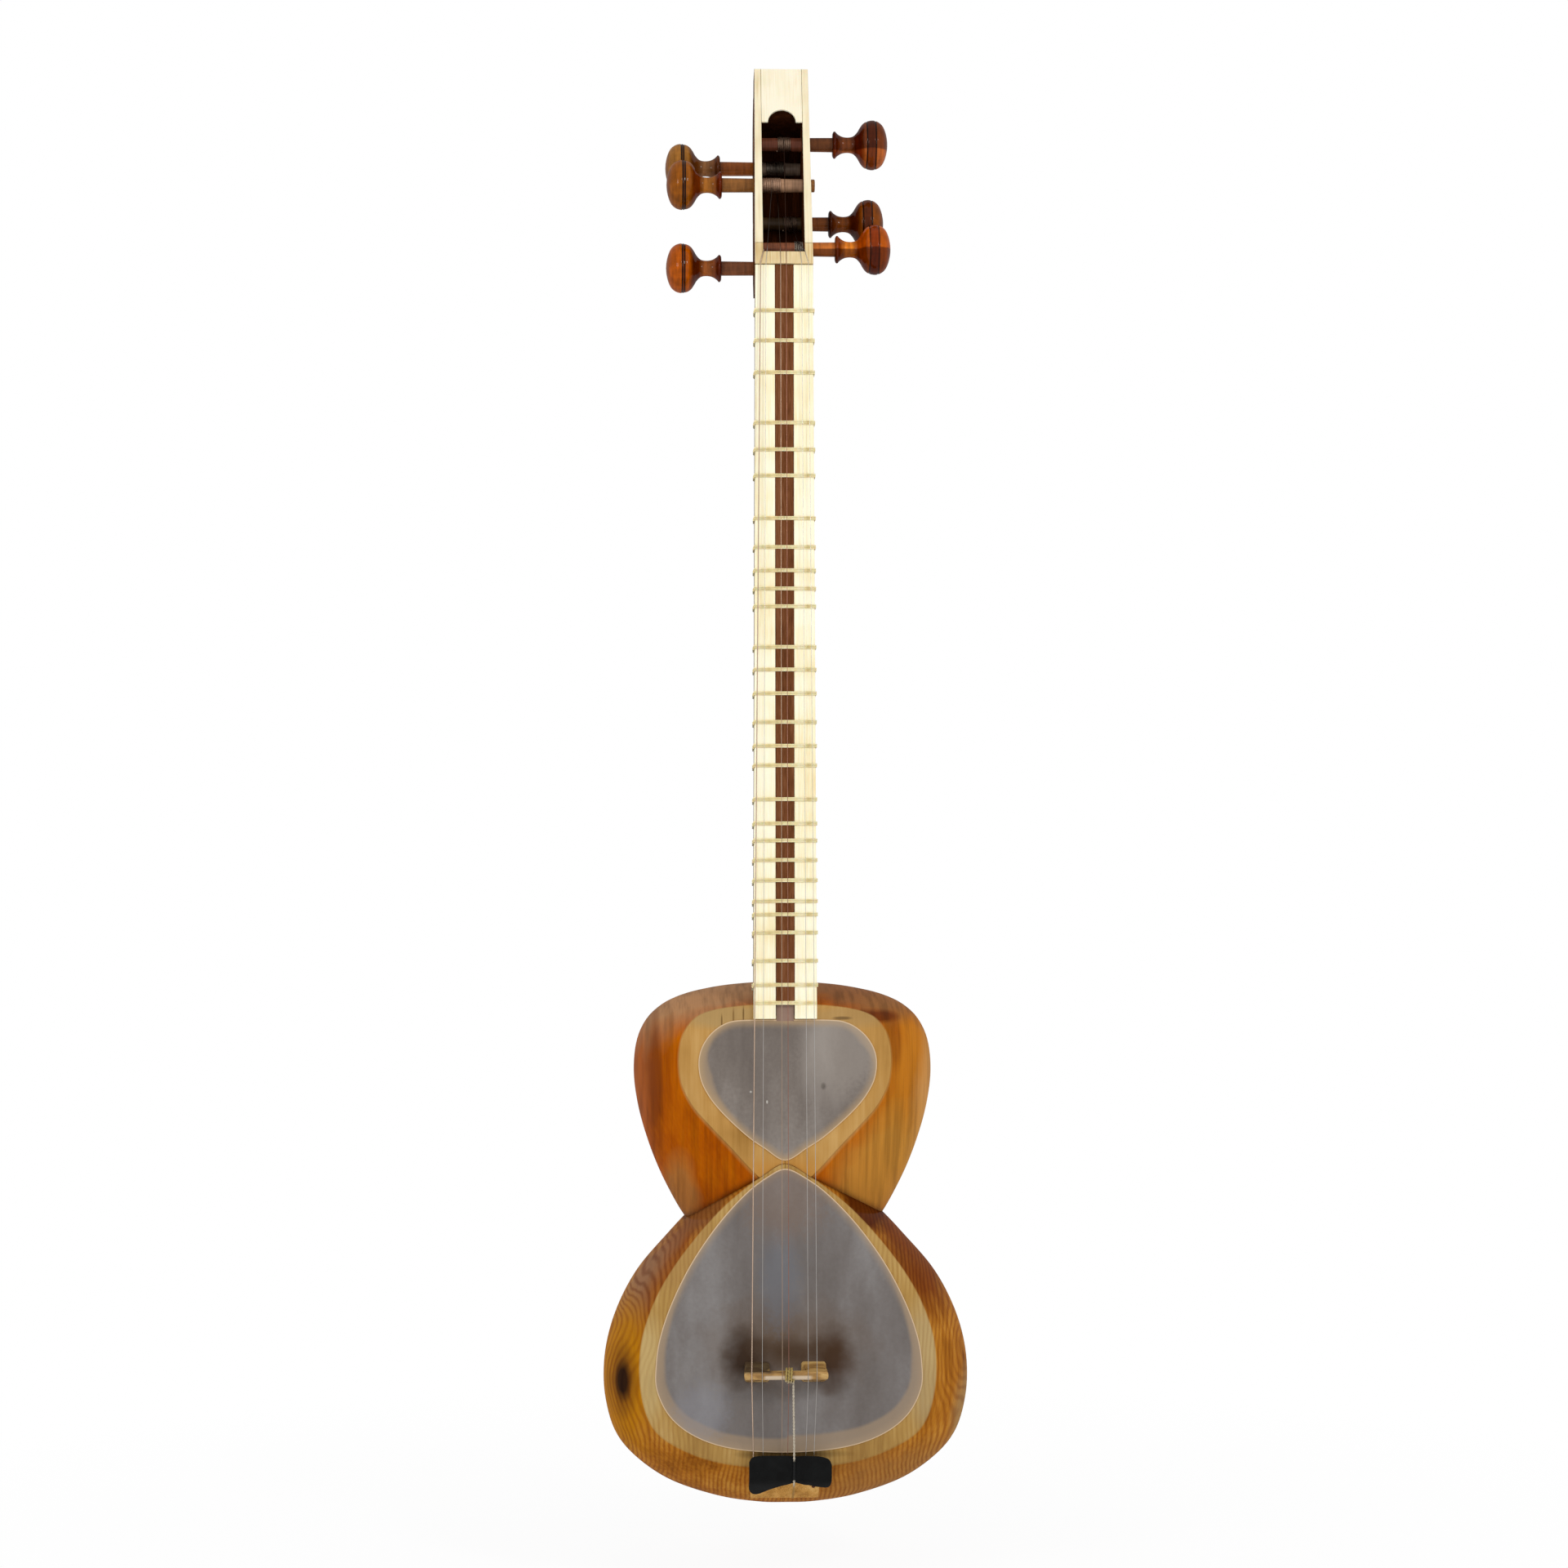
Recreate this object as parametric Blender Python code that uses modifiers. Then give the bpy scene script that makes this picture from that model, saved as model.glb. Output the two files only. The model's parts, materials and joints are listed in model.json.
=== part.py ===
"""A Persian tar: a long-necked lute with a body of two carved bowls, two skin faces and six strings in three pairs.

The instrument stands upright, as it hangs. X is to the right, Y goes into the body and Z is up.
The faces of the bowls lie near the plane Y = 0. Z = 0 is the nut edge, where the strings start to sound.
The neck leans back from the faces and the head leans back further, so each has its own frame, held by an empty.
In the neck frame Y is the depth under the fingerboard's top and Z runs along the neck.
In the head frame Y is the depth under the head's front face and Z runs along the head.
"""

import math

import bmesh
import bpy
import numpy as np
from mathutils import Matrix, Vector

MM = 0.001

# Clearances between pieces
SEAT_GAP = 0.3 * MM
PEG_CLEARANCE = 0.15 * MM

# The strings' sounding length, and the frets, each placed by its pitch above the open string, in cents
SCALE_LENGTH = 665 * MM
FRET_CENTS = (
    75, 125, 180, 270, 320, 370, 455, 515, 565, 605, 645, 740, 795, 855,
    930, 995, 1050, 1150, 1225, 1280, 1345, 1415, 1490, 1540, 1610, 1725, 1830, 1910,
)


def fret_run(cents):
    """Distance from the nut to a fret of this pitch."""
    return SCALE_LENGTH * (1 - 2 ** (-cents / 1200))


# The fingerboard ends a little past its last fret
BOARD_PAST_FRETS = 9.6 * MM
NECK_LENGTH = fret_run(FRET_CENTS[-1]) + BOARD_PAST_FRETS
NECK_TILT = math.radians(2.0)
HEAD_TILT = math.radians(20.0)

# Fingerboard and neck
FINGERBOARD_PROUD = 2.4 * MM
FINGERBOARD_THICKNESS = 3.0 * MM
WIDTH_AT_NUT = 34.8 * MM
WIDTH_AT_BODY = 38.0 * MM
CENTRE_STRIP_WIDTH = 11.0 * MM
SKIN_TONGUE = 9 * MM
CENTRE_STRIP_END = NECK_LENGTH - SKIN_TONGUE
NECK_DEPTH_AT_HEAD = 26 * MM
NECK_DEPTH_AT_BODY = 30 * MM
NECK_STRAIGHT_SIDE = 8 * MM
NECK_BACK_FACETS = 5
TENON_SETBACK = 2 * MM
TENON_END = NECK_LENGTH - TENON_SETBACK
HEAD_JOINT = 16 * MM

# Tied frets are turns of gut. The body reaches over the end of the neck, and past there a fret is glued on.
GUT_DIAMETER = 0.75 * MM
FRET_TURNS = 3
TURN_GAP = 0.45 * MM
FRET_PITCH = GUT_DIAMETER + TURN_GAP
BODY_OVER_NECK = 19.5 * MM
GLUED_FRET_WIDTH = 2.6 * MM
GLUED_FRET_HEIGHT = 0.8 * MM

# Pegs, in a front row and a back row
FRONT_ROW_DEPTH = 12 * MM
BACK_ROW_DEPTH = 35 * MM
TOP_PEG_PLACE = 90 * MM

# Each peg: side, place along the head, depth, flange and winding places across, how far its tip stands out
PEGS = {
    "peg_1": ("right", TOP_PEG_PLACE, FRONT_ROW_DEPTH + 2 * MM, 31.6 * MM, 1.5 * MM, -0.5 * MM),
    "peg_2": ("left", 84.7 * MM, BACK_ROW_DEPTH, 37.2 * MM, -2.5 * MM, -0.5 * MM),
    "peg_3": ("left", 60.4 * MM, FRONT_ROW_DEPTH, 36.8 * MM, -6.0 * MM, 2.4 * MM),
    "peg_4": ("right", 46.5 * MM, BACK_ROW_DEPTH, 29.4 * MM, 5.5 * MM, -0.5 * MM),
    "peg_5": ("right", 16.7 * MM, FRONT_ROW_DEPTH, 31.6 * MM, 9.3 * MM, -0.5 * MM),
    "peg_6": ("left", 15.6 * MM, BACK_ROW_DEPTH, 37.0 * MM, -9.3 * MM, -0.5 * MM),
}
SHAFT_RADIUS_AT_FLANGE = 4.4 * MM
SHAFT_RADIUS_AT_TIP = 3.9 * MM
PEG_SIDES = 12
HOLE_SIDES = 16
# Peg head: distance from the flange and radius, from the flange's rim to the end of the knob
PEG_HEAD_PROFILE = (
    (0.2 * MM, 8.5 * MM),
    (1.6 * MM, 6.8 * MM),
    (4.5 * MM, 5.3 * MM),
    (8.0 * MM, 4.9 * MM),
    (12.4 * MM, 6.2 * MM),
    (14.8 * MM, 9.8 * MM),
    (17.5 * MM, 13.1 * MM),
    (22.0 * MM, 15.1 * MM),
    (27.0 * MM, 14.7 * MM),
    (31.0 * MM, 11.2 * MM),
    (33.2 * MM, 5.6 * MM),
    (33.8 * MM, 0.0 * MM),
)
WINDING_TURNS = 3
WINDING_DIAMETER = 0.75 * MM
WINDING_PITCH = WINDING_DIAMETER + TURN_GAP
WINDING_POINTS = 8

# Head: lengths run from the nut edge along the head, which is as long and as deep as its pegs need.
# Its side view's curves give a share of the depth, with a drop from the top or a height over the nut edge.
SLOT_START = 8.5 * MM
SLOT_BEYOND_PEGS = 17 * MM
SLOT_END = TOP_PEG_PLACE + SLOT_BEYOND_PEGS
HEAD_TOP_BLOCK = 29 * MM
HEAD_LENGTH = SLOT_END + HEAD_TOP_BLOCK
SLOT_BEHIND_PEGS = 6 * MM
SLOT_DEPTH = BACK_ROW_DEPTH + SLOT_BEHIND_PEGS
HEAD_BACK_WALL = 5 * MM
HEAD_DEPTH = SLOT_DEPTH + HEAD_BACK_WALL
HEAD_WIDER = 0.4 * MM
HEAD_WIDTH_AT_NUT = WIDTH_AT_NUT + HEAD_WIDER
HEAD_TAPER = 2.4 * MM
HEAD_WIDTH_AT_TOP = HEAD_WIDTH_AT_NUT - HEAD_TAPER
HEAD_WALL = 5 * MM
SLOT_WIDTH = HEAD_WIDTH_AT_NUT - 2 * HEAD_WALL
HEAD_BACK_ROUNDING = 8 * MM
HEAD_TOP_CURVE = ((0.45, 0 * MM), (0.68, 4 * MM), (0.86, 14 * MM), (0.97, 30 * MM), (1.0, 50 * MM))
HEAD_CHIN_CURVE = ((1.0, 12 * MM), (0.96, 3 * MM), (0.86, -4 * MM))
VENEER = 1.3 * MM
PLATE_END_MARGIN = 2 * MM
NUT_EAR = 5.5 * MM
NUT_EAR_END = SLOT_START + NUT_EAR
PLATE_OVERHANG = 10 * MM
PLATE_START = SLOT_END - PLATE_OVERHANG
PLATE_ARCH_RADIUS = 8.5 * MM

# Strings: peg, side of its shaft where the string meets it, places across at the nut and at the bridge, diameter
STRINGS = {
    "string_1": ("peg_6", "near", -14.3 * MM, -20.6 * MM, 0.8 * MM),
    "string_2": ("peg_3", "front", -11.0 * MM, -14.4 * MM, 0.45 * MM),
    "string_3": ("peg_2", "front", -2.2 * MM, -2.4 * MM, 0.5 * MM),
    "string_4": ("peg_1", "front", 1.3 * MM, 1.4 * MM, 0.5 * MM),
    "string_5": ("peg_4", "front", 10.5 * MM, 13.0 * MM, 0.45 * MM),
    "string_6": ("peg_5", "front", 14.6 * MM, 18.2 * MM, 0.45 * MM),
}

# Bowls: half outlines from the bottom tip to the top, as distance from the middle and height over the neck's end
UPPER_FACE_SETBACK = FINGERBOARD_THICKNESS - FINGERBOARD_PROUD + SEAT_GAP
UPPER_RIM = (
    (0, -108), (17.6, -93), (32.5, -77), (44, -65), (54.6, -53), (61.5, -40), (63.6, -27),
    (62.8, -15.4), (60, -7), (54, 0.5), (46, 4.5), (34, 7), (18, 8.5), (0, 9),
)
UPPER_WIDEST = (
    (0, -174), (25, -163), (45, -146), (57.5, -128), (65.4, -115.8), (75.6, -95.7), (83.3, -75.6), (88.8, -55.4),
    (91.3, -35.3), (89.6, -17), (84, -4), (75.2, 4.8), (64, 10.6), (50, 14.6), (30, 17.8), (0, 19.5),
)
LOWER_RIM = (
    (0, -267.9), (28, -266.7), (52, -261.4), (74, -250.4), (83.5, -237.8), (88, -218), (87.8, -198), (84.5, -182.5),
    (77, -164), (66, -146), (52, -128), (39, -114), (27, -103.5), (14, -94), (0, -86.5),
)
LOWER_WIDEST = (
    (0, -299.8), (17, -299.3), (42, -295.3), (71, -285.4), (92, -271.2), (104.4, -256.2), (110.5, -236.7),
    (111.7, -216.5), (108.8, -196.4), (101.8, -176.3), (90.2, -156.1), (72.8, -136), (60, -122.4),
    (45, -109), (25, -98), (0, -93),
)
UPPER_SKIN = (
    (0, -84.8), (12.6, -77.6), (22.8, -70.7), (34.8, -60.2), (43.2, -51.4), (48.4, -44.2), (52.1, -36.5),
    (53.5, -28), (52.8, -20.6), (49.8, -13.6), (44.4, -7.2), (36.8, -2.4), (27, -0.5), (0, -0.3),
)
LOWER_SKIN = (
    (0, -259.6), (32, -257.2), (55, -250), (71, -238), (79.4, -221.6), (79.8, -206), (77.5, -191), (71.5, -173),
    (62, -153), (51.5, -136), (38.5, -119), (24, -104), (12, -95), (0, -89.5),
)
# The bowls were carved by eye: their widest outlines lie a little to the right, and the right sides are wider
UPPER_SHIFT = 0.8 * MM
LOWER_SHIFT = 2.8 * MM
LOWER_RIM_SKEW = 0.02
SKIN_SKEW = 0.03
SKIN_THICKNESS = 0.5 * MM
GLUE_MARGIN = 5 * MM
OUTLINE_STEPS = 22
SKIN_STEPS = 20
CAVITY_STEPS = 15

# Bowl depths behind the faces, and how far the middles of the backs lie below the neck's end
WIDEST_DEPTH = 60 * MM
UPPER_BACK = 151 * MM
LOWER_BACK = 168 * MM
UPPER_BACK_DROP = 51 * MM
LOWER_BACK_DROP = 208 * MM
UPPER_CENTRE = -UPPER_BACK_DROP - NECK_LENGTH
LOWER_CENTRE = -LOWER_BACK_DROP - NECK_LENGTH
RIM_ROUNDNESS = 108 * MM
BOWL_WALL = 8 * MM
NECK_BLOCK = 10 * MM
FRONT_RING_DEPTHS = (12 * MM, 32 * MM)
BACK_RING_ANGLES = (24, 44, 61, 76)

# Bridge
BRIDGE_HEIGHT = 16.5 * MM
BRIDGE_HALF_WIDTH = 25 * MM
BRIDGE_TOP_THICKNESS = 5.0 * MM
BRIDGE_FOOT_THICKNESS = 12.4 * MM
BRIDGE_BAR_DEPTH = 4.5 * MM
BRIDGE_FOOT_HEIGHT = 4.5 * MM
BRIDGE_FOOT_LENGTH = 14.5 * MM
BRIDGE_FOOT_INSET = 1.0 * MM
BRIDGE_ANKLE = 1.0 * MM
BRIDGE_FLARE = 2.0 * MM
BRIDGE_TAPER_SHARE = 0.6

# Tail pieces: distance down the bowl from its lower rim, and distance out from the bowl's surface
HOLDER_SIDE = (
    (0.7, 0.9), (15.0, 0.9), (24.4, 0.9), (24.3, 6.0), (14.0, 8.0), (1.7, 8.0), (-2.0, 5.3),
)
HOLDER_HALF_WIDTH = 20.5 * MM
STRING_LANDING = (-0.9, 3.3)
STRING_DRAW_IN = 0.92

# Tail pad: a bow tie, as places across with heights of its top and bottom over the lower rim
PAD_COLUMNS = (
    (-21.8, 4.0, -12.0), (-20.0, 6.6, -15.0), (-16.0, 7.5, -15.4), (-8.0, 7.6, -11.6), (0.0, 7.6, -9.0),
    (5.6, 7.2, -7.6), (12.0, 7.4, -9.0), (20.0, 7.0, -10.6), (25.6, 5.4, -10.8), (27.6, 2.1, -7.4),
)
PAD_UNDERSIDE = ((-11.0, -1.8), (-2.0, 7.1), (1.5, 9.0), (14.1, 9.0), (18.1, 8.8))
PAD_THICKNESS = 2.2 * MM
PAD_ROWS = 5

# Tether: the cord that ties the bridge and the pad to the tail
TETHER_DIAMETER = 1.4 * MM
TETHER_GAP = 0.6 * MM
TETHER_PLACE = 4.8 * MM
TETHER_ON_PAD = (6.8, -4.3, -9.0)
TETHER_ON_HOLDER = ((10.5, 11.4), (20.6, 8.3))

COLLECTION = "persian_tar"
WOOD = (0.42, 0.19, 0.06, 1)
WALNUT = (0.16, 0.07, 0.04, 1)
BONE = (0.86, 0.78, 0.56, 1)
SKIN = (0.36, 0.33, 0.30, 1)
PEG_WOOD = (0.30, 0.09, 0.03, 1)
GUT = (0.78, 0.66, 0.36, 1)
HORN = (0.58, 0.42, 0.20, 1)
LEATHER = (0.02, 0.02, 0.02, 1)
CORD = (0.62, 0.58, 0.45, 1)
BRONZE = (0.50, 0.36, 0.20, 1)
BRASS = (0.72, 0.52, 0.26, 1)
STEEL = (0.66, 0.66, 0.66, 1)


def clear_scene():
    for obj in list(bpy.data.objects):
        bpy.data.objects.remove(obj, do_unlink=True)


def collection(name):
    found = bpy.data.collections.new(name)
    bpy.context.scene.collection.children.link(found)
    return found


def material(name, colour, roughness, metallic=0.0):
    made = bpy.data.materials.new(name)
    made.use_nodes = True
    shader = made.node_tree.nodes["Principled BSDF"]
    shader.inputs["Base Color"].default_value = colour
    shader.inputs["Roughness"].default_value = roughness
    shader.inputs["Metallic"].default_value = metallic
    return made


clear_scene()
PARTS = collection(COLLECTION)
CUTTERS = collection("cutters")

MATERIALS = {
    "mulberry": material("mulberry", WOOD, 0.35),
    "walnut": material("walnut", WALNUT, 0.45),
    "bone": material("bone", BONE, 0.35),
    "skin": material("skin", SKIN, 0.6),
    "peg_wood": material("peg_wood", PEG_WOOD, 0.25),
    "gut": material("gut", GUT, 0.5),
    "horn": material("horn", HORN, 0.4),
    "leather": material("leather", LEATHER, 0.8),
    "cord": material("cord", CORD, 0.7),
    "bronze": material("bronze", BRONZE, 0.35, 1.0),
    "brass": material("brass", BRASS, 0.3, 1.0),
    "steel": material("steel", STEEL, 0.3, 1.0),
}


def empty(name, location, tilt):
    """A frame that leans back by the tilt about X."""
    frame = bpy.data.objects.new(name, None)
    frame.location = location
    frame.rotation_euler = (-tilt, 0, 0)
    PARTS.objects.link(frame)
    return frame


NUT_POINT = Vector((0, NECK_LENGTH * math.sin(NECK_TILT) - FINGERBOARD_PROUD, 0))
NECK_FRAME = empty("neck_frame", NUT_POINT, NECK_TILT)
HEAD_FRAME = empty("head_frame", NUT_POINT, HEAD_TILT)
NECK_TO_WORLD = Matrix.Translation(NUT_POINT) @ Matrix.Rotation(-NECK_TILT, 4, "X")
HEAD_TO_WORLD = Matrix.Translation(NUT_POINT) @ Matrix.Rotation(-HEAD_TILT, 4, "X")
NECK_TO_HEAD = HEAD_TO_WORLD.inverted() @ NECK_TO_WORLD


def add_mesh(name, mesh, finish, parent=None, location=(0, 0, 0), rotation=(0, 0, 0)):
    obj = bpy.data.objects.new(name, mesh)
    obj.location = location
    obj.rotation_euler = rotation
    obj.parent = parent
    mesh.materials.append(MATERIALS[finish])
    PARTS.objects.link(obj)
    return obj


def mesh_from(bm, name, smooth_angle=None):
    bmesh.ops.recalc_face_normals(bm, faces=bm.faces[:])
    mesh = bpy.data.meshes.new(name)
    bm.to_mesh(mesh)
    bm.free()
    if smooth_angle is not None:
        mesh.shade_smooth()
        mesh.set_sharp_from_angle(angle=math.radians(smooth_angle))
    return mesh


def prism(outline, along):
    """A flat closed outline of vectors, drawn out by one vector into a solid."""
    bm = bmesh.new()
    face = bm.faces.new([bm.verts.new(p) for p in outline])
    drawn = bmesh.ops.extrude_face_region(bm, geom=[face])
    moved = [v for v in drawn["geom"] if isinstance(v, bmesh.types.BMVert)]
    bmesh.ops.translate(bm, vec=along, verts=moved)
    return bm


def tube(name, points, diameter, finish, parent=None, location=(0, 0, 0), sides_step=1):
    """A round cord through the points, with filled ends."""
    curve = bpy.data.curves.new(name, "CURVE")
    curve.dimensions = "3D"
    curve.bevel_depth = diameter / 2
    curve.bevel_resolution = sides_step
    curve.use_fill_caps = True
    spline = curve.splines.new("POLY")
    spline.points.add(len(points) - 1)
    for point, place in zip(spline.points, points):
        point.co = (*place, 1)
    curve.materials.append(MATERIALS[finish])
    obj = bpy.data.objects.new(name, curve)
    obj.location = location
    obj.parent = parent
    PARTS.objects.link(obj)
    return obj


def settle(obj):
    """Turns a curve object or one with modifiers into a plain welded mesh at the same place."""
    bpy.context.view_layer.update()
    graph = bpy.context.evaluated_depsgraph_get()
    mesh = bpy.data.meshes.new_from_object(obj.evaluated_get(graph))
    bm = bmesh.new()
    bm.from_mesh(mesh)
    bmesh.ops.remove_doubles(bm, verts=bm.verts[:], dist=0.001 * MM)
    bm.to_mesh(mesh)
    bm.free()
    name, parent = obj.name, obj.parent
    place = obj.matrix_world.copy()
    links = list(obj.users_collection)
    bpy.data.objects.remove(obj, do_unlink=True)
    made = bpy.data.objects.new(name, mesh)
    made.parent = parent
    for link in links:
        link.objects.link(made)
    bpy.context.view_layer.update()
    made.matrix_world = place
    return made


def boolean(obj, other, operation):
    """Joins or cuts with another object, which becomes a hidden guide."""
    if other.name in PARTS.objects:
        PARTS.objects.unlink(other)
    if other.name not in CUTTERS.objects:
        CUTTERS.objects.link(other)
    other.hide_render = True
    other.display_type = "WIRE"
    modifier = obj.modifiers.new(operation.lower(), "BOOLEAN")
    modifier.operation = operation
    modifier.object = other
    modifier.solver = "EXACT"
    return modifier


def guide(name, mesh, parent=None, location=(0, 0, 0), rotation=(0, 0, 0)):
    """A cutter, kept out of the finished parts."""
    obj = bpy.data.objects.new(name, mesh)
    obj.location = location
    obj.rotation_euler = rotation
    obj.parent = parent
    obj.hide_render = True
    obj.display_type = "WIRE"
    CUTTERS.objects.link(obj)
    return obj


def box_mesh(name, low, high):
    bm = bmesh.new()
    bmesh.ops.create_cube(bm, size=1)
    size = [h - l for l, h in zip(low, high)]
    middle = [(h + l) / 2 for l, h in zip(low, high)]
    bmesh.ops.scale(bm, vec=size, verts=bm.verts[:])
    bmesh.ops.translate(bm, vec=middle, verts=bm.verts[:])
    return mesh_from(bm, name)


# Outlines of the bowls and skins


def smooth_half(points, steps):
    """Points evenly spaced along a smooth curve through the half outline, in metres."""
    knots = np.array(points, float) * MM - (0, NECK_LENGTH)
    before = knots[1] * (-1, 1)
    after = knots[-2] * (-1, 1)
    padded = np.vstack([before, knots, after])
    dense = []
    for i in range(1, len(padded) - 2):
        p0, p1, p2, p3 = padded[i - 1 : i + 3]
        for t in np.linspace(0, 1, 12, endpoint=False):
            dense.append(
                0.5 * (2 * p1 + (p2 - p0) * t + (2 * p0 - 5 * p1 + 4 * p2 - p3) * t**2
                       + (3 * p1 - p0 - 3 * p2 + p3) * t**3)
            )
    dense.append(padded[-2])
    dense = np.array(dense)
    lengths = np.concatenate([[0], np.cumsum(np.linalg.norm(np.diff(dense, axis=0), axis=1))])
    wanted = np.linspace(0, lengths[-1], steps + 1)
    return np.column_stack([np.interp(wanted, lengths, dense[:, k]) for k in (0, 1)])


def closed_outline(half):
    """The half outline and its mirror image as one loop: up the right side and down the left."""
    left = half[1:-1][::-1] * (-1, 1)
    return np.vstack([half, left])


def inset(loop, distance):
    """Moves each point of a loop inwards, square to the loop."""
    ahead, behind = np.roll(loop, -1, axis=0), np.roll(loop, 1, axis=0)
    run = ahead - behind
    inward = np.column_stack([-run[:, 1], run[:, 0]])
    return loop + inward / np.linalg.norm(inward, axis=1)[:, None] * distance


def rim_share(depth, face):
    """How far the outline has grown from the rim to its widest, along a round side."""
    def reach(y):
        return math.sqrt(RIM_ROUNDNESS**2 - (WIDEST_DEPTH - y) ** 2)
    return (reach(depth) - reach(face)) / (reach(WIDEST_DEPTH) - reach(face))


def bowl_rings(rim, widest, face, back, centre, wall=0.0):
    """Rings of a bowl from its face to near its back, each an array of 3D points."""
    rings = [(face, rim)]
    for depth in FRONT_RING_DEPTHS:
        share = rim_share(depth, face)
        rings.append((depth, rim + (widest - rim) * share))
    rings.append((WIDEST_DEPTH, widest))
    reach = back - wall - WIDEST_DEPTH
    middle = np.array([0, centre])
    for angle in BACK_RING_ANGLES:
        turn = math.radians(angle)
        rings.append((WIDEST_DEPTH + reach * math.sin(turn), middle + (widest - middle) * math.cos(turn)))
    return [np.column_stack([loop[:, 0], np.full(len(loop), depth), loop[:, 1]]) for depth, loop in rings]


def bowl_solid(rings, back, centre):
    """A closed bowl: sides through the rings, a flat face in front and a point at the back."""
    bm = bmesh.new()
    rows = [[bm.verts.new(p) for p in ring] for ring in rings]
    count = len(rows[0])
    for near, far in zip(rows, rows[1:]):
        for i in range(count):
            j = (i + 1) % count
            bm.faces.new((near[i], near[j], far[j], far[i]))
    bm.faces.new(rows[0])
    pole = bm.verts.new((0, back, centre))
    for i in range(count):
        bm.faces.new((rows[-1][i], rows[-1][(i + 1) % count], pole))
    return bm


def outer_bowl(name, rim, widest, face, back, centre, shift, skew):
    rim_loop = skewed_outline(rim, OUTLINE_STEPS, skew)
    widest_loop = closed_outline(smooth_half(widest, OUTLINE_STEPS)) + (shift, 0)
    rings = bowl_rings(rim_loop, widest_loop, face, back, centre)
    return mesh_from(bowl_solid(rings, back, centre), name, 40)


def inner_bowl(name, skin, widest, face, back, centre, shift, top_limit=None):
    """The hollow of a bowl, which opens through its face under the skin."""
    opening = inset(skewed_outline(skin, CAVITY_STEPS, SKIN_SKEW), GLUE_MARGIN)
    widest_loop = inset(closed_outline(smooth_half(widest, CAVITY_STEPS)) + (shift, 0), BOWL_WALL)
    if top_limit is not None:
        widest_loop[:, 1] = np.minimum(widest_loop[:, 1], top_limit)
        opening[:, 1] = np.minimum(opening[:, 1], top_limit)
    rings = bowl_rings(opening, widest_loop, face, back, centre, BOWL_WALL)
    front = rings[0].copy()
    front[:, 1] = face - BOWL_WALL
    return mesh_from(bowl_solid([front] + rings, back - BOWL_WALL, centre), name)


def skewed_outline(points, steps, skew):
    """A closed outline, a little wider on the right than on the left, as it was cut by hand."""
    loop = closed_outline(smooth_half(points, steps))
    loop[:, 0] *= np.where(loop[:, 0] > 0, 1 + skew, 1 - skew)
    return loop


# Neck and fingerboard, in the neck frame


def neck_half_width(run):
    """Half the width at a distance down the neck from the nut."""
    return (WIDTH_AT_NUT + (WIDTH_AT_BODY - WIDTH_AT_NUT) * run / NECK_LENGTH) / 2


def neck_depth(run):
    return NECK_DEPTH_AT_HEAD + (NECK_DEPTH_AT_BODY - NECK_DEPTH_AT_HEAD) * run / NECK_LENGTH


NECK_TOP = FINGERBOARD_THICKNESS + SEAT_GAP


def neck_section(run, top, clearance=0.0):
    """Points round the neck at one place, from its front left corner round the back to the front right one."""
    half = neck_half_width(run) + clearance
    side = NECK_TOP + NECK_STRAIGHT_SIDE
    below = neck_depth(run) - NECK_STRAIGHT_SIDE + clearance
    points = [(-half, top)]
    for i in range(NECK_BACK_FACETS + 1):
        turn = math.pi * i / NECK_BACK_FACETS
        points.append((-half * math.cos(turn), side + below * math.sin(turn)))
    points.append((half, top))
    return points


def loft_neck(name, start, end, clearance=0.0, top=NECK_TOP):
    """The neck's wood between two places along it."""
    bm = bmesh.new()
    loops = []
    for run in (start, end):
        loops.append([bm.verts.new((x, y, -run)) for x, y in neck_section(run, top, clearance)])
    first, last = loops
    for i in range(len(first)):
        j = (i + 1) % len(first)
        bm.faces.new((first[i], first[j], last[j], last[i]))
    bm.faces.new(first)
    bm.faces.new(last)
    return mesh_from(bm, name, 40)


def make_neck():
    return add_mesh("neck", loft_neck("neck", HEAD_JOINT + SEAT_GAP, TENON_END), "walnut", NECK_FRAME)


def strip(name, inner, outer, end, finish):
    """One strip of the fingerboard: inner and outer give its edges at a distance down the neck."""
    start = 0.0
    outline = [
        Vector((inner(start), 0, -start)), Vector((outer(start), 0, -start)),
        Vector((outer(end), 0, -end)), Vector((inner(end), 0, -end)),
    ]
    bm = prism(outline, Vector((0, FINGERBOARD_THICKNESS, 0)))
    return add_mesh(name, mesh_from(bm, name), finish, NECK_FRAME)


def make_fingerboard():
    seam = CENTRE_STRIP_WIDTH / 2
    strip("fingerboard_bone_left", lambda run: -seam - SEAT_GAP, lambda run: -neck_half_width(run),
          NECK_LENGTH, "bone")
    strip("fingerboard_bone_right", lambda run: seam + SEAT_GAP, neck_half_width, NECK_LENGTH, "bone")
    strip("fingerboard_centre_strip", lambda run: -seam, lambda run: seam, CENTRE_STRIP_END, "walnut")


def fret_path(run):
    """Turns of gut round the fingerboard and neck, stepping along it at a steady rate, about the fret's own place."""
    away = SEAT_GAP + GUT_DIAMETER / 2
    section = neck_section(run, -away, away)
    turn_points = len(section)
    points = []
    for i in range(FRET_TURNS * turn_points + 1):
        x, y = section[i % turn_points]
        height = FRET_PITCH * (i / turn_points - FRET_TURNS / 2)
        points.append(Vector((x, y, height)))
    return points


def least_gap(points, diameter, turn_points):
    """Least distance between the surfaces of turns that lie next to each other."""
    dense = []
    for a, b in zip(points, points[1:]):
        dense += [a.lerp(b, t / 6) for t in range(6)]
    skip = (turn_points - 2) * 6
    return min(
        (dense[i] - dense[j]).length for i in range(len(dense)) for j in range(i + skip, len(dense))
    ) - diameter


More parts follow.
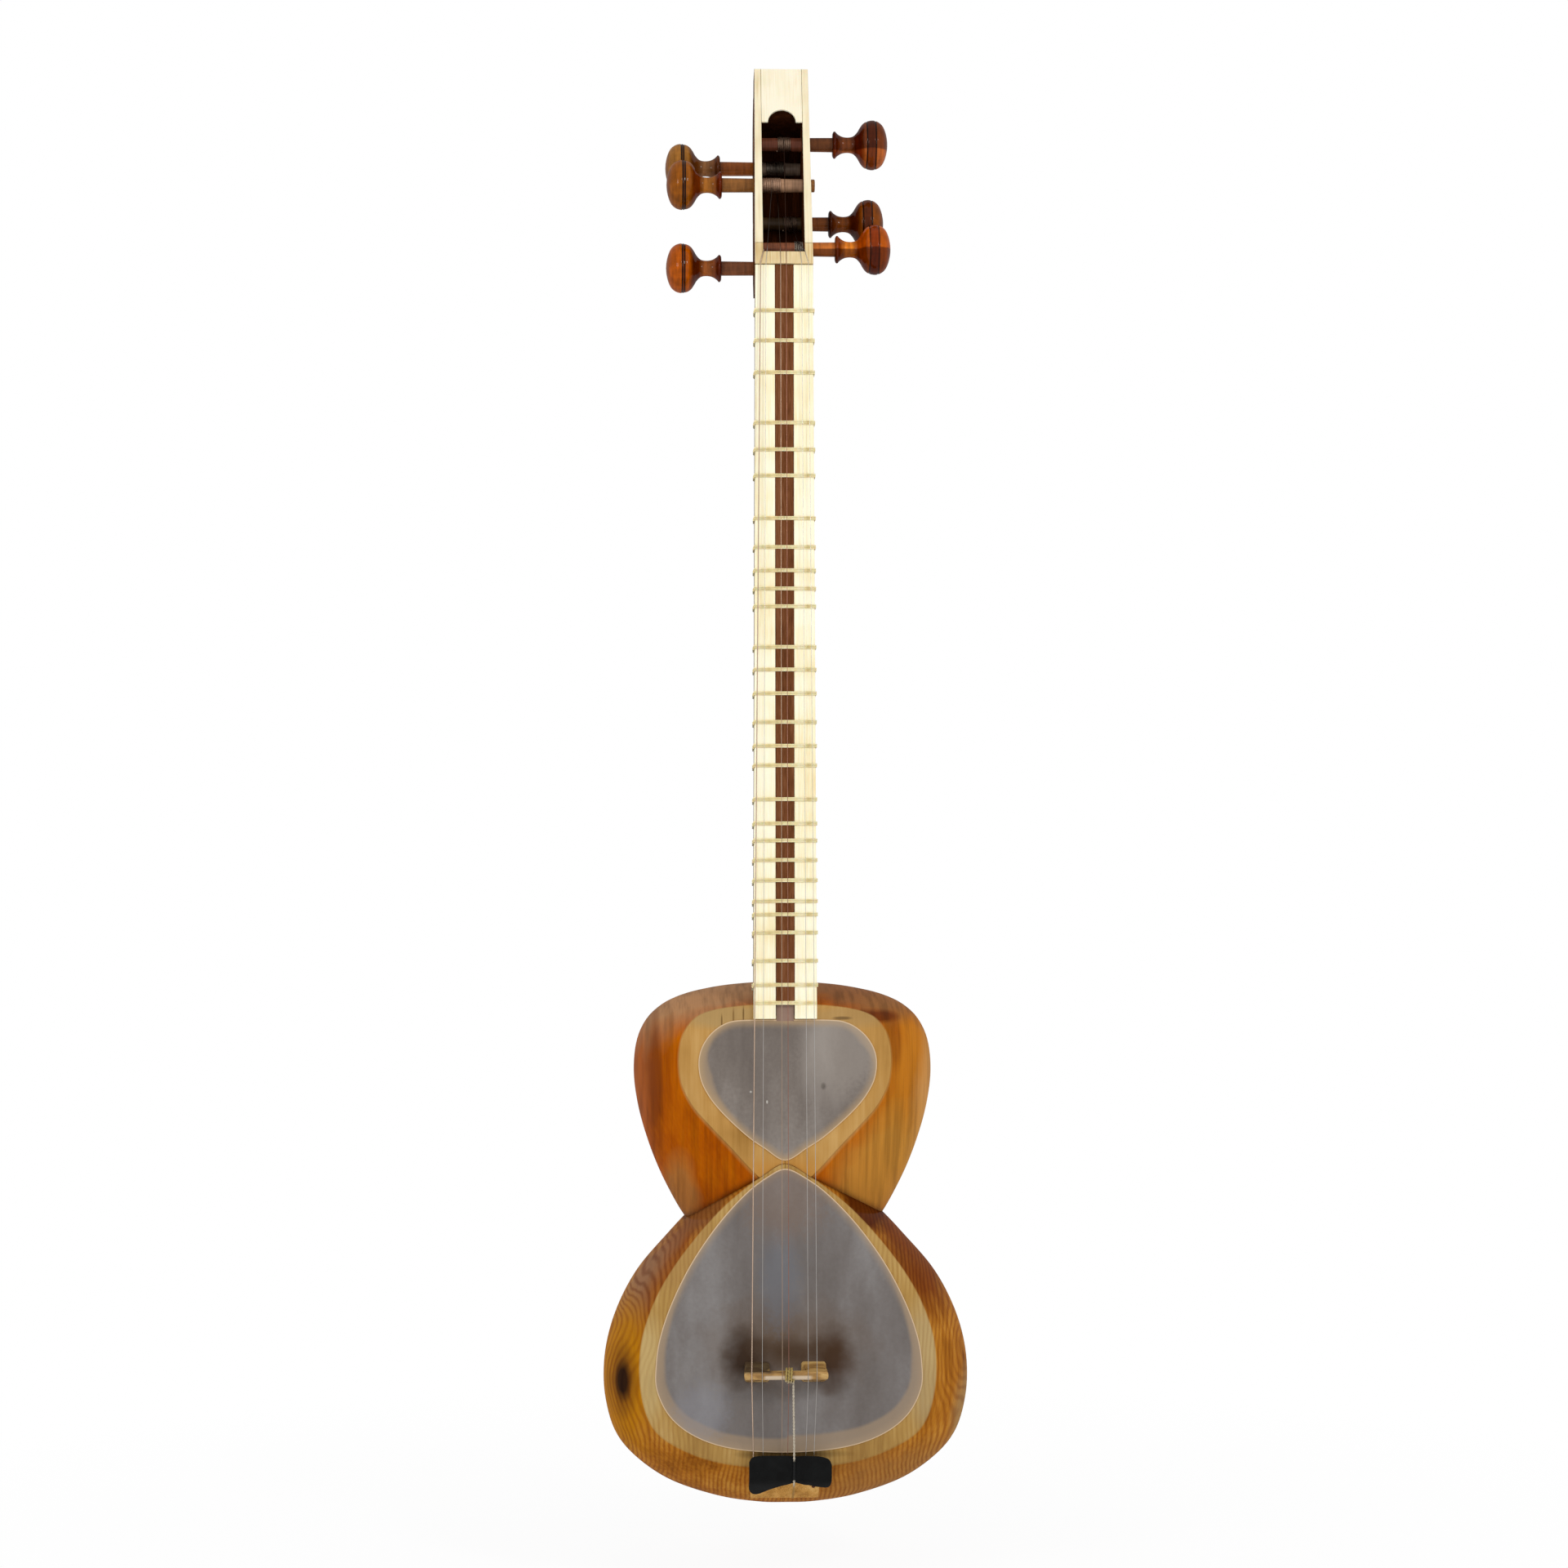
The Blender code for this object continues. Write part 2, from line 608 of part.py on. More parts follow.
def make_frets():
    """Frets are tied down to where the body starts. Past it one is glued to the fingerboard."""
    for number, cents in enumerate(FRET_CENTS, 1):
        run = fret_run(cents)
        name = f"fret_{number:02d}"
        if run < NECK_LENGTH - BODY_OVER_NECK:
            tube(name, fret_path(run), GUT_DIAMETER, "gut", NECK_FRAME, (0, 0, -run), sides_step=0)
        else:
            glued_fret(name, run)
    first = fret_run(FRET_CENTS[0])
    gap = least_gap(fret_path(first), GUT_DIAMETER, len(neck_section(first, 0)))
    print(f"fret gut: least gap to itself {gap / MM:.2f} mm")


def glued_fret(name, run):
    half = neck_half_width(run)
    low = (-half, -SEAT_GAP - GLUED_FRET_HEIGHT, -GLUED_FRET_WIDTH / 2)
    high = (half, -SEAT_GAP, GLUED_FRET_WIDTH / 2)
    add_mesh(name, box_mesh(name, low, high), "gut", NECK_FRAME, (0, 0, -run))


# Head, in the head frame


def head_half_width(run):
    return (HEAD_WIDTH_AT_NUT + (HEAD_WIDTH_AT_TOP - HEAD_WIDTH_AT_NUT) * run / HEAD_LENGTH) / 2


def head_side_outline():
    """The head's side view: from the joint under the fingerboard, up the front, over the top and down the back."""
    joint = HEAD_JOINT - SEAT_GAP
    under_board = NECK_TO_HEAD @ Vector((0, NECK_TOP, -joint))
    board_end = NECK_TO_HEAD @ Vector((0, NECK_TOP, SEAT_GAP))
    neck_back = NECK_TO_HEAD @ Vector((0, NECK_TOP + neck_depth(joint), -joint))
    front = [(under_board.y, under_board.z), (board_end.y, board_end.z), (0, SEAT_GAP * 2)]
    top = [(0, HEAD_LENGTH - PLATE_END_MARGIN), (PLATE_END_MARGIN, HEAD_LENGTH)]
    top += [(HEAD_DEPTH * share, HEAD_LENGTH - drop) for share, drop in HEAD_TOP_CURVE]
    chin = [(HEAD_DEPTH * share, height) for share, height in HEAD_CHIN_CURVE]
    return front + top + chin + [(neck_back.y, neck_back.z)]


def make_pegbox():
    outline = [Vector((1, y, z)) for y, z in head_side_outline()]
    bm = prism(outline, Vector((-2, 0, 0)))
    for vert in bm.verts:
        vert.co.x *= head_half_width(max(vert.co.z, 0))
    back = [
        e for e in bm.edges
        if min(v.co.y for v in e.verts) > HEAD_DEPTH * 0.4 and e.verts[0].co.x * e.verts[1].co.x > 0
    ]
    bmesh.ops.bevel(bm, geom=back, offset=HEAD_BACK_ROUNDING, segments=3, profile=0.5, affect="EDGES")
    pegbox = add_mesh("pegbox", mesh_from(bm, "pegbox", 35), "walnut", HEAD_FRAME)
    half = SLOT_WIDTH / 2
    slot = box_mesh("slot", (-half, -SLOT_DEPTH, SLOT_START), (half, SLOT_DEPTH, SLOT_END))
    boolean(pegbox, guide("slot", slot, HEAD_FRAME), "DIFFERENCE")
    for name, (side, run, depth, flange, _, tip) in PEGS.items():
        boolean(pegbox, peg_hole(name, side, run, depth, flange, tip), "DIFFERENCE")
    return pegbox


def side_turn(side):
    """The rotation that takes a turned piece's own Z to the right or to the left."""
    return (0, math.pi / 2, 0) if side == "right" else (0, -math.pi / 2, 0)


def tip_place(tip):
    """Where a shaft ends, past the middle of the head on the side away from its knob."""
    return -(HEAD_WIDTH_AT_NUT / 2 + tip)


def shaft_radius(reach, flange, tip):
    """Radius of the tapered shaft at a signed distance from the middle, on the flange's side positive."""
    share = (reach - tip_place(tip)) / (flange - tip_place(tip))
    return SHAFT_RADIUS_AT_TIP + (SHAFT_RADIUS_AT_FLANGE - SHAFT_RADIUS_AT_TIP) * share


def peg_hole(name, side, run, depth, flange, tip):
    """A tapered hole through both walls, a clearance wider than the shaft."""
    reach = HEAD_WIDTH_AT_NUT / 2 + HEAD_WALL
    widen = 1 / math.cos(math.pi / HOLE_SIDES)
    bm = bmesh.new()
    bmesh.ops.create_cone(
        bm, cap_ends=True, segments=HOLE_SIDES, depth=2 * reach,
        radius1=(shaft_radius(-reach, flange, tip) + PEG_CLEARANCE) * widen,
        radius2=(shaft_radius(reach, flange, tip) + PEG_CLEARANCE) * widen,
    )
    return guide(f"{name}_hole", mesh_from(bm, f"{name}_hole"), HEAD_FRAME, (0, depth, run), side_turn(side))


def winding_path(place, radius):
    """Turns of string on a shaft, centred at a place along it."""
    total = WINDING_TURNS * WINDING_POINTS
    points = []
    for i in range(total + 1):
        turn = 2 * math.pi * i / WINDING_POINTS
        along = place + WINDING_PITCH * (i / WINDING_POINTS - WINDING_TURNS / 2)
        points.append(Vector((radius * math.cos(turn), radius * math.sin(turn), along)))
    return points


def winding_radius(place, flange, tip):
    """Radius of the middle of the wound string, which sits a little into the shaft."""
    return shaft_radius(place, flange, tip) + WINDING_DIAMETER * 0.25


def own_place(side, across):
    """A place across the head, measured along the peg's own axis towards its knob."""
    return across if side == "right" else -across


def make_peg(name, side, run, depth, flange, across, tip):
    """A turned peg with its string wound on the shaft."""
    end = tip_place(tip)
    profile = [(0, end), (SHAFT_RADIUS_AT_TIP, end), (SHAFT_RADIUS_AT_FLANGE, flange)]
    profile += [(radius, flange + step) for step, radius in PEG_HEAD_PROFILE]
    bm = bmesh.new()
    verts = [bm.verts.new((radius, 0, along)) for radius, along in reversed(profile)]
    for a, b in zip(verts, verts[1:]):
        bm.edges.new((a, b))
    mesh = bpy.data.meshes.new(name)
    bm.to_mesh(mesh)
    bm.free()
    peg = add_mesh(name, mesh, "peg_wood", HEAD_FRAME, (0, depth, run), side_turn(side))
    screw = peg.modifiers.new("turned", "SCREW")
    screw.steps = PEG_SIDES
    screw.render_steps = PEG_SIDES
    screw.use_merge_vertices = True
    screw.merge_threshold = 0.00001
    place = own_place(side, across)
    path = winding_path(place, winding_radius(place, flange, tip))
    wound = tube(f"{name}_winding", path, WINDING_DIAMETER, "brass", HEAD_FRAME, (0, depth, run), sides_step=0)
    wound.rotation_euler = side_turn(side)
    wound = settle(wound)
    boolean(peg, wound, "UNION")
    gap = least_gap(path, WINDING_DIAMETER, WINDING_POINTS)
    print(f"{name} winding: least gap to itself {gap / MM:.2f} mm")
    return peg


def head_plate(name, outline, finish):
    """A flat piece of bone on the head's front face. The outline is across and along the head."""
    points = [Vector((x, -SEAT_GAP, z)) for x, z in outline]
    bm = prism(points, Vector((0, -VENEER, 0)))
    return add_mesh(name, mesh_from(bm, name), finish, HEAD_FRAME)


def make_head_plates():
    slot = SLOT_WIDTH / 2
    nut_half = head_half_width(0)
    ear_half = head_half_width(NUT_EAR_END)
    base = SEAT_GAP * 2
    top = SLOT_START - SEAT_GAP
    nut = [
        (-nut_half, base), (nut_half, base), (ear_half, NUT_EAR_END), (slot, NUT_EAR_END), (slot, top),
        (-slot, top), (-slot, NUT_EAR_END), (-ear_half, NUT_EAR_END),
    ]
    head_plate("nut", nut, "bone")
    start = NUT_EAR_END + SEAT_GAP
    end = HEAD_LENGTH - PLATE_END_MARGIN
    for name, sign in (("pegbox_edge_left", -1), ("pegbox_edge_right", 1)):
        edge = [
            (sign * slot, start), (sign * head_half_width(start), start),
            (sign * head_half_width(end), end), (sign * slot, end),
        ]
        head_plate(name, edge, "bone")
    plate_half = slot - SEAT_GAP
    arch_steps = 8
    arch = [
        (PLATE_ARCH_RADIUS * math.cos(math.pi * i / arch_steps),
         PLATE_START + PLATE_ARCH_RADIUS * math.sin(math.pi * i / arch_steps))
        for i in range(arch_steps + 1)
    ]
    plate = [(plate_half, PLATE_START), *arch, (-plate_half, PLATE_START), (-plate_half, end), (plate_half, end)]
    head_plate("pegbox_front_plate", plate, "bone")


# Body, skins, bridge and tail, in the world's frame


def make_body():
    """The two bowls joined, hollowed, cut for the neck's tenon and then split down the middle."""
    upper = guide("upper_bowl", outer_bowl("upper_bowl", UPPER_RIM, UPPER_WIDEST, UPPER_FACE_SETBACK, UPPER_BACK,
                                           UPPER_CENTRE, UPPER_SHIFT, 0.0))
    upper_hollow = guide("upper_hollow", inner_bowl("upper_hollow", UPPER_SKIN, UPPER_WIDEST, UPPER_FACE_SETBACK,
                                                    UPPER_BACK, UPPER_CENTRE, UPPER_SHIFT,
                                                    -NECK_LENGTH - NECK_BLOCK))
    lower_hollow = guide("lower_hollow", inner_bowl("lower_hollow", LOWER_SKIN, LOWER_WIDEST, 0.0, LOWER_BACK,
                                                    LOWER_CENTRE, LOWER_SHIFT))
    above_body = NECK_LENGTH - 2 * BODY_OVER_NECK
    tenon = loft_neck("tenon", above_body, TENON_END + SEAT_GAP, SEAT_GAP, -BODY_OVER_NECK)
    socket = guide("neck_socket", tenon, NECK_FRAME)
    lower = outer_bowl("body", LOWER_RIM, LOWER_WIDEST, 0.0, LOWER_BACK, LOWER_CENTRE, LOWER_SHIFT, LOWER_RIM_SKEW)
    whole = add_mesh("body", lower, "mulberry")
    boolean(whole, upper, "UNION")
    boolean(whole, upper_hollow, "DIFFERENCE")
    boolean(whole, lower_hollow, "DIFFERENCE")
    boolean(whole, socket, "DIFFERENCE")
    whole = settle(whole)
    for name, sign in (("bowl_left_half", -1), ("bowl_right_half", 1)):
        add_mesh(name, half_of(whole.data, name, sign), "mulberry")
    bpy.data.objects.remove(whole, do_unlink=True)


def half_of(mesh, name, sign):
    """One side of a mesh, cut half a seam's gap from the middle and closed there."""
    bm = bmesh.new()
    bm.from_mesh(mesh)
    cut = bmesh.ops.bisect_plane(
        bm, geom=bm.verts[:] + bm.edges[:] + bm.faces[:], dist=0.001 * MM,
        plane_co=(sign * SEAT_GAP / 2, 0, 0), plane_no=(-sign, 0, 0), clear_outer=True,
    )
    rim = [e for e in cut["geom_cut"] if isinstance(e, bmesh.types.BMEdge)]
    bmesh.ops.edgenet_fill(bm, edges=rim)
    bmesh.ops.dissolve_degenerate(bm, dist=0.005 * MM, edges=bm.edges[:])
    half = mesh_from(bm, name, 40)
    half.materials.clear()
    return half


def make_skins():
    """Each skin lies on its bowl's face. The upper one has a tongue between the bone strips."""
    upper = [(x, z) for x, z in skewed_outline(UPPER_SKIN, SKIN_STEPS, SKIN_SKEW)]
    top = SKIN_STEPS
    tongue_half = CENTRE_STRIP_WIDTH / 2 - SEAT_GAP
    edge = -NECK_LENGTH - SEAT_GAP
    tongue_end = -CENTRE_STRIP_END - SEAT_GAP
    tongue = [(tongue_half, edge), (tongue_half, tongue_end), (-tongue_half, tongue_end), (-tongue_half, edge)]
    beside = [(x, min(z, edge)) for x, z in upper]
    loop = beside[:top] + tongue + beside[top + 1 :]
    plate_on_face("skin_upper", loop, UPPER_FACE_SETBACK)
    plate_on_face("skin_lower", list(skewed_outline(LOWER_SKIN, SKIN_STEPS, SKIN_SKEW)), 0.0)


def plate_on_face(name, loop, face):
    points = [Vector((x, face - SEAT_GAP, z)) for x, z in loop]
    bm = prism(points, Vector((0, -SKIN_THICKNESS, 0)))
    return add_mesh(name, mesh_from(bm, name), "skin")


SKIN_TOP = -SEAT_GAP - SKIN_THICKNESS
BRIDGE_BASE = SKIN_TOP - SEAT_GAP
BRIDGE_TOP = BRIDGE_BASE - BRIDGE_HEIGHT


def make_bridge():
    """A horn bar on two spread feet. The outline is across and up from the skin, and the feet are the thicker part."""
    high, bar = BRIDGE_HEIGHT, BRIDGE_HEIGHT - BRIDGE_BAR_DEPTH
    shoulder = bar - BRIDGE_FLARE
    foot = BRIDGE_FOOT_HEIGHT
    half = BRIDGE_HALF_WIDTH
    sole = half - BRIDGE_FOOT_INSET
    heel = sole - BRIDGE_FOOT_LENGTH
    ankle = heel + BRIDGE_ANKLE
    right = [
        (heel + BRIDGE_ANKLE / 2, bar), (ankle + BRIDGE_FLARE, shoulder), (ankle, foot), (heel, 0), (sole, 0),
        (sole - BRIDGE_ANKLE / 2, foot), (half, shoulder), (half, high),
    ]
    left = [(-x, up) for x, up in reversed(right)]
    points = [Vector((x, BRIDGE_BASE - up, -1)) for x, up in left + right]
    bm = prism(points, Vector((0, 0, 2)))
    for vert in bm.verts:
        share = (BRIDGE_BASE - vert.co.y) / BRIDGE_HEIGHT / BRIDGE_TAPER_SHARE
        thickness = BRIDGE_FOOT_THICKNESS + (BRIDGE_TOP_THICKNESS - BRIDGE_FOOT_THICKNESS) * min(share, 1)
        vert.co.z *= thickness / 2
        vert.co.z -= SCALE_LENGTH
    return add_mesh("bridge", mesh_from(bm, "bridge", 35), "horn")


def tail_slope():
    """Unit vectors down the lower bowl's bottom line from its rim, and square out from it, as depth and height."""
    first_ring = FRONT_RING_DEPTHS[0]
    drop = (LOWER_WIDEST[0][1] - LOWER_RIM[0][1]) * MM * rim_share(first_ring, 0.0)
    along = Vector((first_ring, drop)).normalized()
    return along, Vector((along.y, -along.x))


RIM_BOTTOM = LOWER_RIM[0][1] * MM - NECK_LENGTH


def tail_point(x, place):
    """A world point at a place across, from its distances down the bowl and out from it in millimetres."""
    along, out = tail_slope()
    spot = (along * place[0] + out * place[1]) * MM
    return Vector((x, spot.x, RIM_BOTTOM + spot.y))


def make_string_holder():
    bm = prism([tail_point(-HOLDER_HALF_WIDTH, place) for place in HOLDER_SIDE], Vector((2 * HOLDER_HALF_WIDTH, 0, 0)))
    return add_mesh("string_holder", mesh_from(bm, "string_holder"), "horn")


def pad_depth(height):
    """Depth of the pad's underside at a height, over the string ends and along the string holder's front."""
    path = [tail_point(0, place) for place in PAD_UNDERSIDE]
    return np.interp(-height, [-p.z for p in path], [p.y for p in path])


def make_tail_pad():
    """A leather bow tie over the string ends, pinched where the tether crosses it."""
    bm = bmesh.new()
    columns = []
    for x, top, bottom in PAD_COLUMNS:
        heights = RIM_BOTTOM + np.linspace(top, bottom, PAD_ROWS) * MM
        columns.append([bm.verts.new((x * MM, pad_depth(h), h)) for h in heights])
    for left, right in zip(columns, columns[1:]):
        for i in range(PAD_ROWS - 1):
            bm.faces.new((left[i], right[i], right[i + 1], left[i + 1]))
    pad = add_mesh("tail_pad", mesh_from(bm, "tail_pad"), "leather")
    thick = pad.modifiers.new("thickness", "SOLIDIFY")
    thick.thickness = PAD_THICKNESS
    thick.offset = 1 if pad.data.polygons[0].normal.y < 0 else -1
    return pad


def tangent_point(start, centre, radius, meets):
    """Where a line from start touches a circle, on its front or on the side near the nut. Points are depth and run."""
    away = start - centre
    distance = away.length
    swing = math.acos(radius / distance)
    choices = []
    for sign in (1, -1):
        turned = Matrix.Rotation(sign * swing, 2) @ (away / distance)
        choices.append(centre + turned * radius)
    return min(choices, key=lambda p: p.x if meets == "front" else p.y)


def make_strings():
    """Each string runs from the holder over the bridge and the nut into the slot, and ends on its peg's winding."""
    finishes = ("bronze", "steel", "brass", "brass", "steel", "steel")
    for (name, (peg, meets, at_nut, at_bridge, diameter)), finish in zip(STRINGS.items(), finishes):
        side, run, depth, flange, across, tip = PEGS[peg]
        lift = SEAT_GAP + diameter / 2
        over_nut = -SEAT_GAP - VENEER - lift
        wound = winding_radius(own_place(side, across), flange, tip) + WINDING_DIAMETER / 2 + lift
        lip = Vector((over_nut, SLOT_START + lift))
        end = tangent_point(lip, Vector((depth, run)), wound, meets)
        share = (lip.y - SEAT_GAP * 2) / (end.y - SEAT_GAP * 2)
        lip_across = at_nut + (across - at_nut) * min(max(share, 0.15), 0.4)
        bridge_string = BRIDGE_TOP - lift
        half_bridge = BRIDGE_TOP_THICKNESS / 2
        points = [
            tail_point(at_bridge * STRING_DRAW_IN, STRING_LANDING) + Vector((0, 0, lift)),
            Vector((at_bridge, bridge_string, -SCALE_LENGTH - half_bridge)),
            Vector((at_bridge, bridge_string, -SCALE_LENGTH + half_bridge)),
            HEAD_TO_WORLD @ Vector((at_nut, over_nut, SEAT_GAP * 2)),
            HEAD_TO_WORLD @ Vector((lip_across, lip.x, lip.y)),
            HEAD_TO_WORLD @ Vector((across, end.x, end.y)),
        ]
        tube(name, points, diameter, finish)


def make_tether():
    """The cord goes once round the bridge's bar, then down to the tail, over the pad and along the holder."""
    radius = TETHER_DIAMETER / 2
    away = SEAT_GAP + radius
    top, under = BRIDGE_TOP - away, BRIDGE_TOP + BRIDGE_BAR_DEPTH + away
    ahead = -SCALE_LENGTH + BRIDGE_TOP_THICKNESS / 2 + away + TETHER_GAP
    behind = -SCALE_LENGTH - BRIDGE_TOP_THICKNESS / 2 - away - TETHER_GAP
    x = TETHER_PLACE
    step = TETHER_DIAMETER + TETHER_GAP
    clear_of_pad = -PAD_THICKNESS - away
    pinch_top, pinch_bottom, pad_edge = [RIM_BOTTOM + height * MM for height in TETHER_ON_PAD]
    on_pad = pad_depth(pinch_top) + clear_of_pad
    points = [
        Vector((x - step, top, behind)),
        Vector((x - step * 0.8, top, ahead)),
        Vector((x - step * 0.5, under, ahead)),
        Vector((x - step * 0.2, under, behind)),
        Vector((x, under - 2 * TETHER_DIAMETER, behind - 2 * TETHER_DIAMETER)),
        Vector((x, on_pad - TETHER_GAP, pinch_top + 3 * TETHER_DIAMETER)),
        Vector((x, on_pad, pinch_bottom)),
        Vector((x, pad_depth(pad_edge) + clear_of_pad - 2 * TETHER_GAP, pad_edge)),
        *[tail_point(x, place) for place in TETHER_ON_HOLDER],
    ]
    tube("bridge_tether", points, TETHER_DIAMETER, "cord")


def make_tar():
    make_body()
    make_skins()
    make_neck()
    make_fingerboard()
    make_frets()
    make_pegbox()
    make_head_plates()
    for name, sizes in PEGS.items():
        make_peg(name, *sizes)
    make_bridge()
    make_string_holder()
    make_tail_pad()
    make_strings()
    make_tether()


make_tar()
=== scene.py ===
# %% [markdown]
# # A Persian tar
#
# A tar is a long-necked lute. Two bowls are carved from mulberry wood and joined at a narrow waist, and
# each is closed by a thin stretched skin. Six strings in three pairs run from the tail over a horn bridge
# to turned pegs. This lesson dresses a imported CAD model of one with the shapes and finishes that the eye
# meets. Every place is in metres in the model's own frame: X to the right, Y into the body, Z up, and Z = 0
# where the strings start to sound.

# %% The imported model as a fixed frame
import json
import math

import bmesh
import bpy
import numpy as np
from mathutils import Matrix, Vector

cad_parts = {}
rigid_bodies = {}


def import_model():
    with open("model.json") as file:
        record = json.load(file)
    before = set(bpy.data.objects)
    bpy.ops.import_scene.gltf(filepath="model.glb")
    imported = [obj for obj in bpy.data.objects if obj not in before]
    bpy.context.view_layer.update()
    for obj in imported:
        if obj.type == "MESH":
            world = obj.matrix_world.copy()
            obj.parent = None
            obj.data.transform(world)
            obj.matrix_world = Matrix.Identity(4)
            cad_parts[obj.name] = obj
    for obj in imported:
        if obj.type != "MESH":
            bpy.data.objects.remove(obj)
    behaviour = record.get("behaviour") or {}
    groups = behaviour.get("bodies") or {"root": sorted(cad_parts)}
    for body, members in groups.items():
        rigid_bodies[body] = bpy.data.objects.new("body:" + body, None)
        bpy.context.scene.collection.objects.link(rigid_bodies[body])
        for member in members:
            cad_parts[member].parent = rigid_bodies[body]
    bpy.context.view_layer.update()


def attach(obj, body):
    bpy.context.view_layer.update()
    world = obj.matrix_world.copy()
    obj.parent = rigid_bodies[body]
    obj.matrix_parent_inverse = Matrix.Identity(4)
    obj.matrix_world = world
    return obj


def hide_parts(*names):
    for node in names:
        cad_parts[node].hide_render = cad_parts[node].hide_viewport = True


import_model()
scene = bpy.context.scene
shown = scene.collection.objects

# %% [markdown]
# ## Lengths and frames
#
# The neck leans back from the skins by two degrees and the head by twenty, so each has its own frame. In a
# frame X is across, Y is the depth under its front and Z runs along it. A matrix takes a point from there
# to the world.

# %% Frames of the neck and the head
MM = 0.001
# Glued pieces keep a seat gap in the CAD model. Here most come within a touch, and a seam that can be
# seen keeps a glue line.
SEAT_GAP, TOUCH, GLUE_LINE = 0.3 * MM, 0.02 * MM, 0.15 * MM
SIGN = {"left": -1, "right": 1}
SCALE_LENGTH = 665 * MM
FRET_CENTS = (
    75, 125, 180, 270, 320, 370, 455, 515, 565, 605, 645, 740, 795, 855,
    930, 995, 1050, 1150, 1225, 1280, 1345, 1415, 1490, 1540, 1610, 1725, 1830, 1910,
)


def fret_run(cents):
    """Distance from the nut to a fret of this pitch above the open string."""
    return SCALE_LENGTH * (1 - 2 ** (-cents / 1200))


NECK_LENGTH = fret_run(FRET_CENTS[-1]) + 9.6 * MM
NECK_TILT, HEAD_TILT = math.radians(2), math.radians(20)
BOARD_PROUD = 2.4 * MM
NUT_POINT = Vector((0, NECK_LENGTH * math.sin(NECK_TILT) - BOARD_PROUD, 0))
NECK = Matrix.Translation(NUT_POINT) @ Matrix.Rotation(-NECK_TILT, 4, "X")
HEAD = Matrix.Translation(NUT_POINT) @ Matrix.Rotation(-HEAD_TILT, 4, "X")
print("neck length in mm:", round(NECK_LENGTH / MM, 1))

# %% [markdown]
# ## Colour and nodes
#
# Colours are picked in sRGB, as a painting program shows them, and shaders work in linear light. One
# function turns a hex code into linear values, and another adds a shader node with its settings and its
# links.

# %% Helpers for finishes


def linear(code):
    """An sRGB hex colour as linear red, green, blue and alpha."""
    parts = [int(code[i : i + 2], 16) / 255 for i in (1, 3, 5)]
    return (*[c / 12.92 if c <= 0.04045 else ((c + 0.055) / 1.055) ** 2.4 for c in parts], 1.0)


def put(tree, kind, inputs=None, stops=(), **settings):
    """Adds a node. An input is a value, a hex colour, or a node or socket to link from. Stops fill a ramp."""
    node = tree.nodes.new("ShaderNode" + kind)
    if kind == "Mix":
        node.data_type = "RGBA"
    for name, value in settings.items():
        setattr(node, name, value)
    for i, (place, code) in enumerate(stops):
        element = node.color_ramp.elements[i] if i < 2 else node.color_ramp.elements.new(place)
        element.position = place
        element.color = linear(code)
    for name, value in (inputs or {}).items():
        named = [s for s in node.inputs if s.enabled and s.name == name]
        socket = named[0] if named else node.inputs[name]
        if isinstance(value, bpy.types.Node):
            value = next(s for s in value.outputs if s.enabled)
        if isinstance(value, bpy.types.NodeSocket):
            tree.links.new(value, socket)
        else:
            socket.default_value = linear(value) if isinstance(value, str) else value
    return node


def new_finish(name):
    """An empty material, its node tree, and the place of each point in the model."""
    made = bpy.data.materials.new(name)
    made.use_nodes = True
    tree = made.node_tree
    tree.nodes.clear()
    return made, tree, put(tree, "TexCoord").outputs["Object"]


def close_finish(tree, colour, rough, specular, relief, more=None):
    """Ends a material with a Principled shader. Relief is a height, a bump's strength and its depth in mm."""
    inputs = {"Base Color": colour, "Roughness": rough, "Specular IOR Level": specular, **(more or {})}
    if relief:
        height, strength, depth = relief
        inputs["Normal"] = put(tree, "Bump", {"Height": height, "Strength": strength, "Distance": depth * MM})
    put(tree, "OutputMaterial", {"Surface": put(tree, "BsdfPrincipled", inputs)})


def band_size(millimetres):
    """Wave scale at which one band repeats after this width."""
    return 2 * math.pi / 20 / (millimetres * MM)


# %% [markdown]
# ## Patterns and layers of colour
#
# Every finish is built in the same few steps. Noise drawn out along the grain gives the pattern. A ramp
# turns a weighted sum of patterns into tones. Then other tones are laid over them where some values lie in
# some range.

# %% Patterns and layers of colour


def grain(tree, place, size, detail, stretch=None, more=None):
    """Noise with blotches of one size in millimetres, drawn out by a scale along each axis."""
    if stretch:
        place = put(tree, "Mapping", {"Vector": place, "Scale": stretch})
    inputs = {"Vector": place, "Scale": 1 / (size * MM), "Detail": detail, **(more or {})}
    return put(tree, "TexNoise", inputs)


def shades(tree, parts, base, places, tones):
    """A ramp of tones over the sum of some patterns, each with its weight."""
    total = base
    for pattern, weight in parts:
        total = put(tree, "Math", {0: pattern, 1: weight, 2: total}, operation="MULTIPLY_ADD")
    return put(tree, "ValToRGB", {"Fac": total}, stops=zip(places, tones))


def over(tree, colour, code, ramps, strength=1.0, ease="LINEAR", blend="MIX"):
    """Another tone over a colour, where every ramp is up: a value, where it is 0 and where it is 1."""
    for value, start, end in ramps:
        inputs = {"Value": value, "From Min": start, "From Max": end}
        ramp = put(tree, "MapRange", inputs, interpolation_type=ease)
        strength = put(tree, "Math", {0: ramp, 1: strength}, operation="MULTIPLY")
    return put(tree, "Mix", {"Factor": strength, "A": colour, "B": code}, blend_type=blend)


def scaled(tree, colour, value, start, end, low, high):
    """A colour times a factor that runs from low to high with a value."""
    inputs = {"Value": value, "From Min": start, "From Max": end, "To Min": low, "To Max": high}
    factor = put(tree, "MapRange", inputs)
    return put(tree, "Mix", {"Factor": 1.0, "A": colour, "B": factor}, blend_type="MULTIPLY")


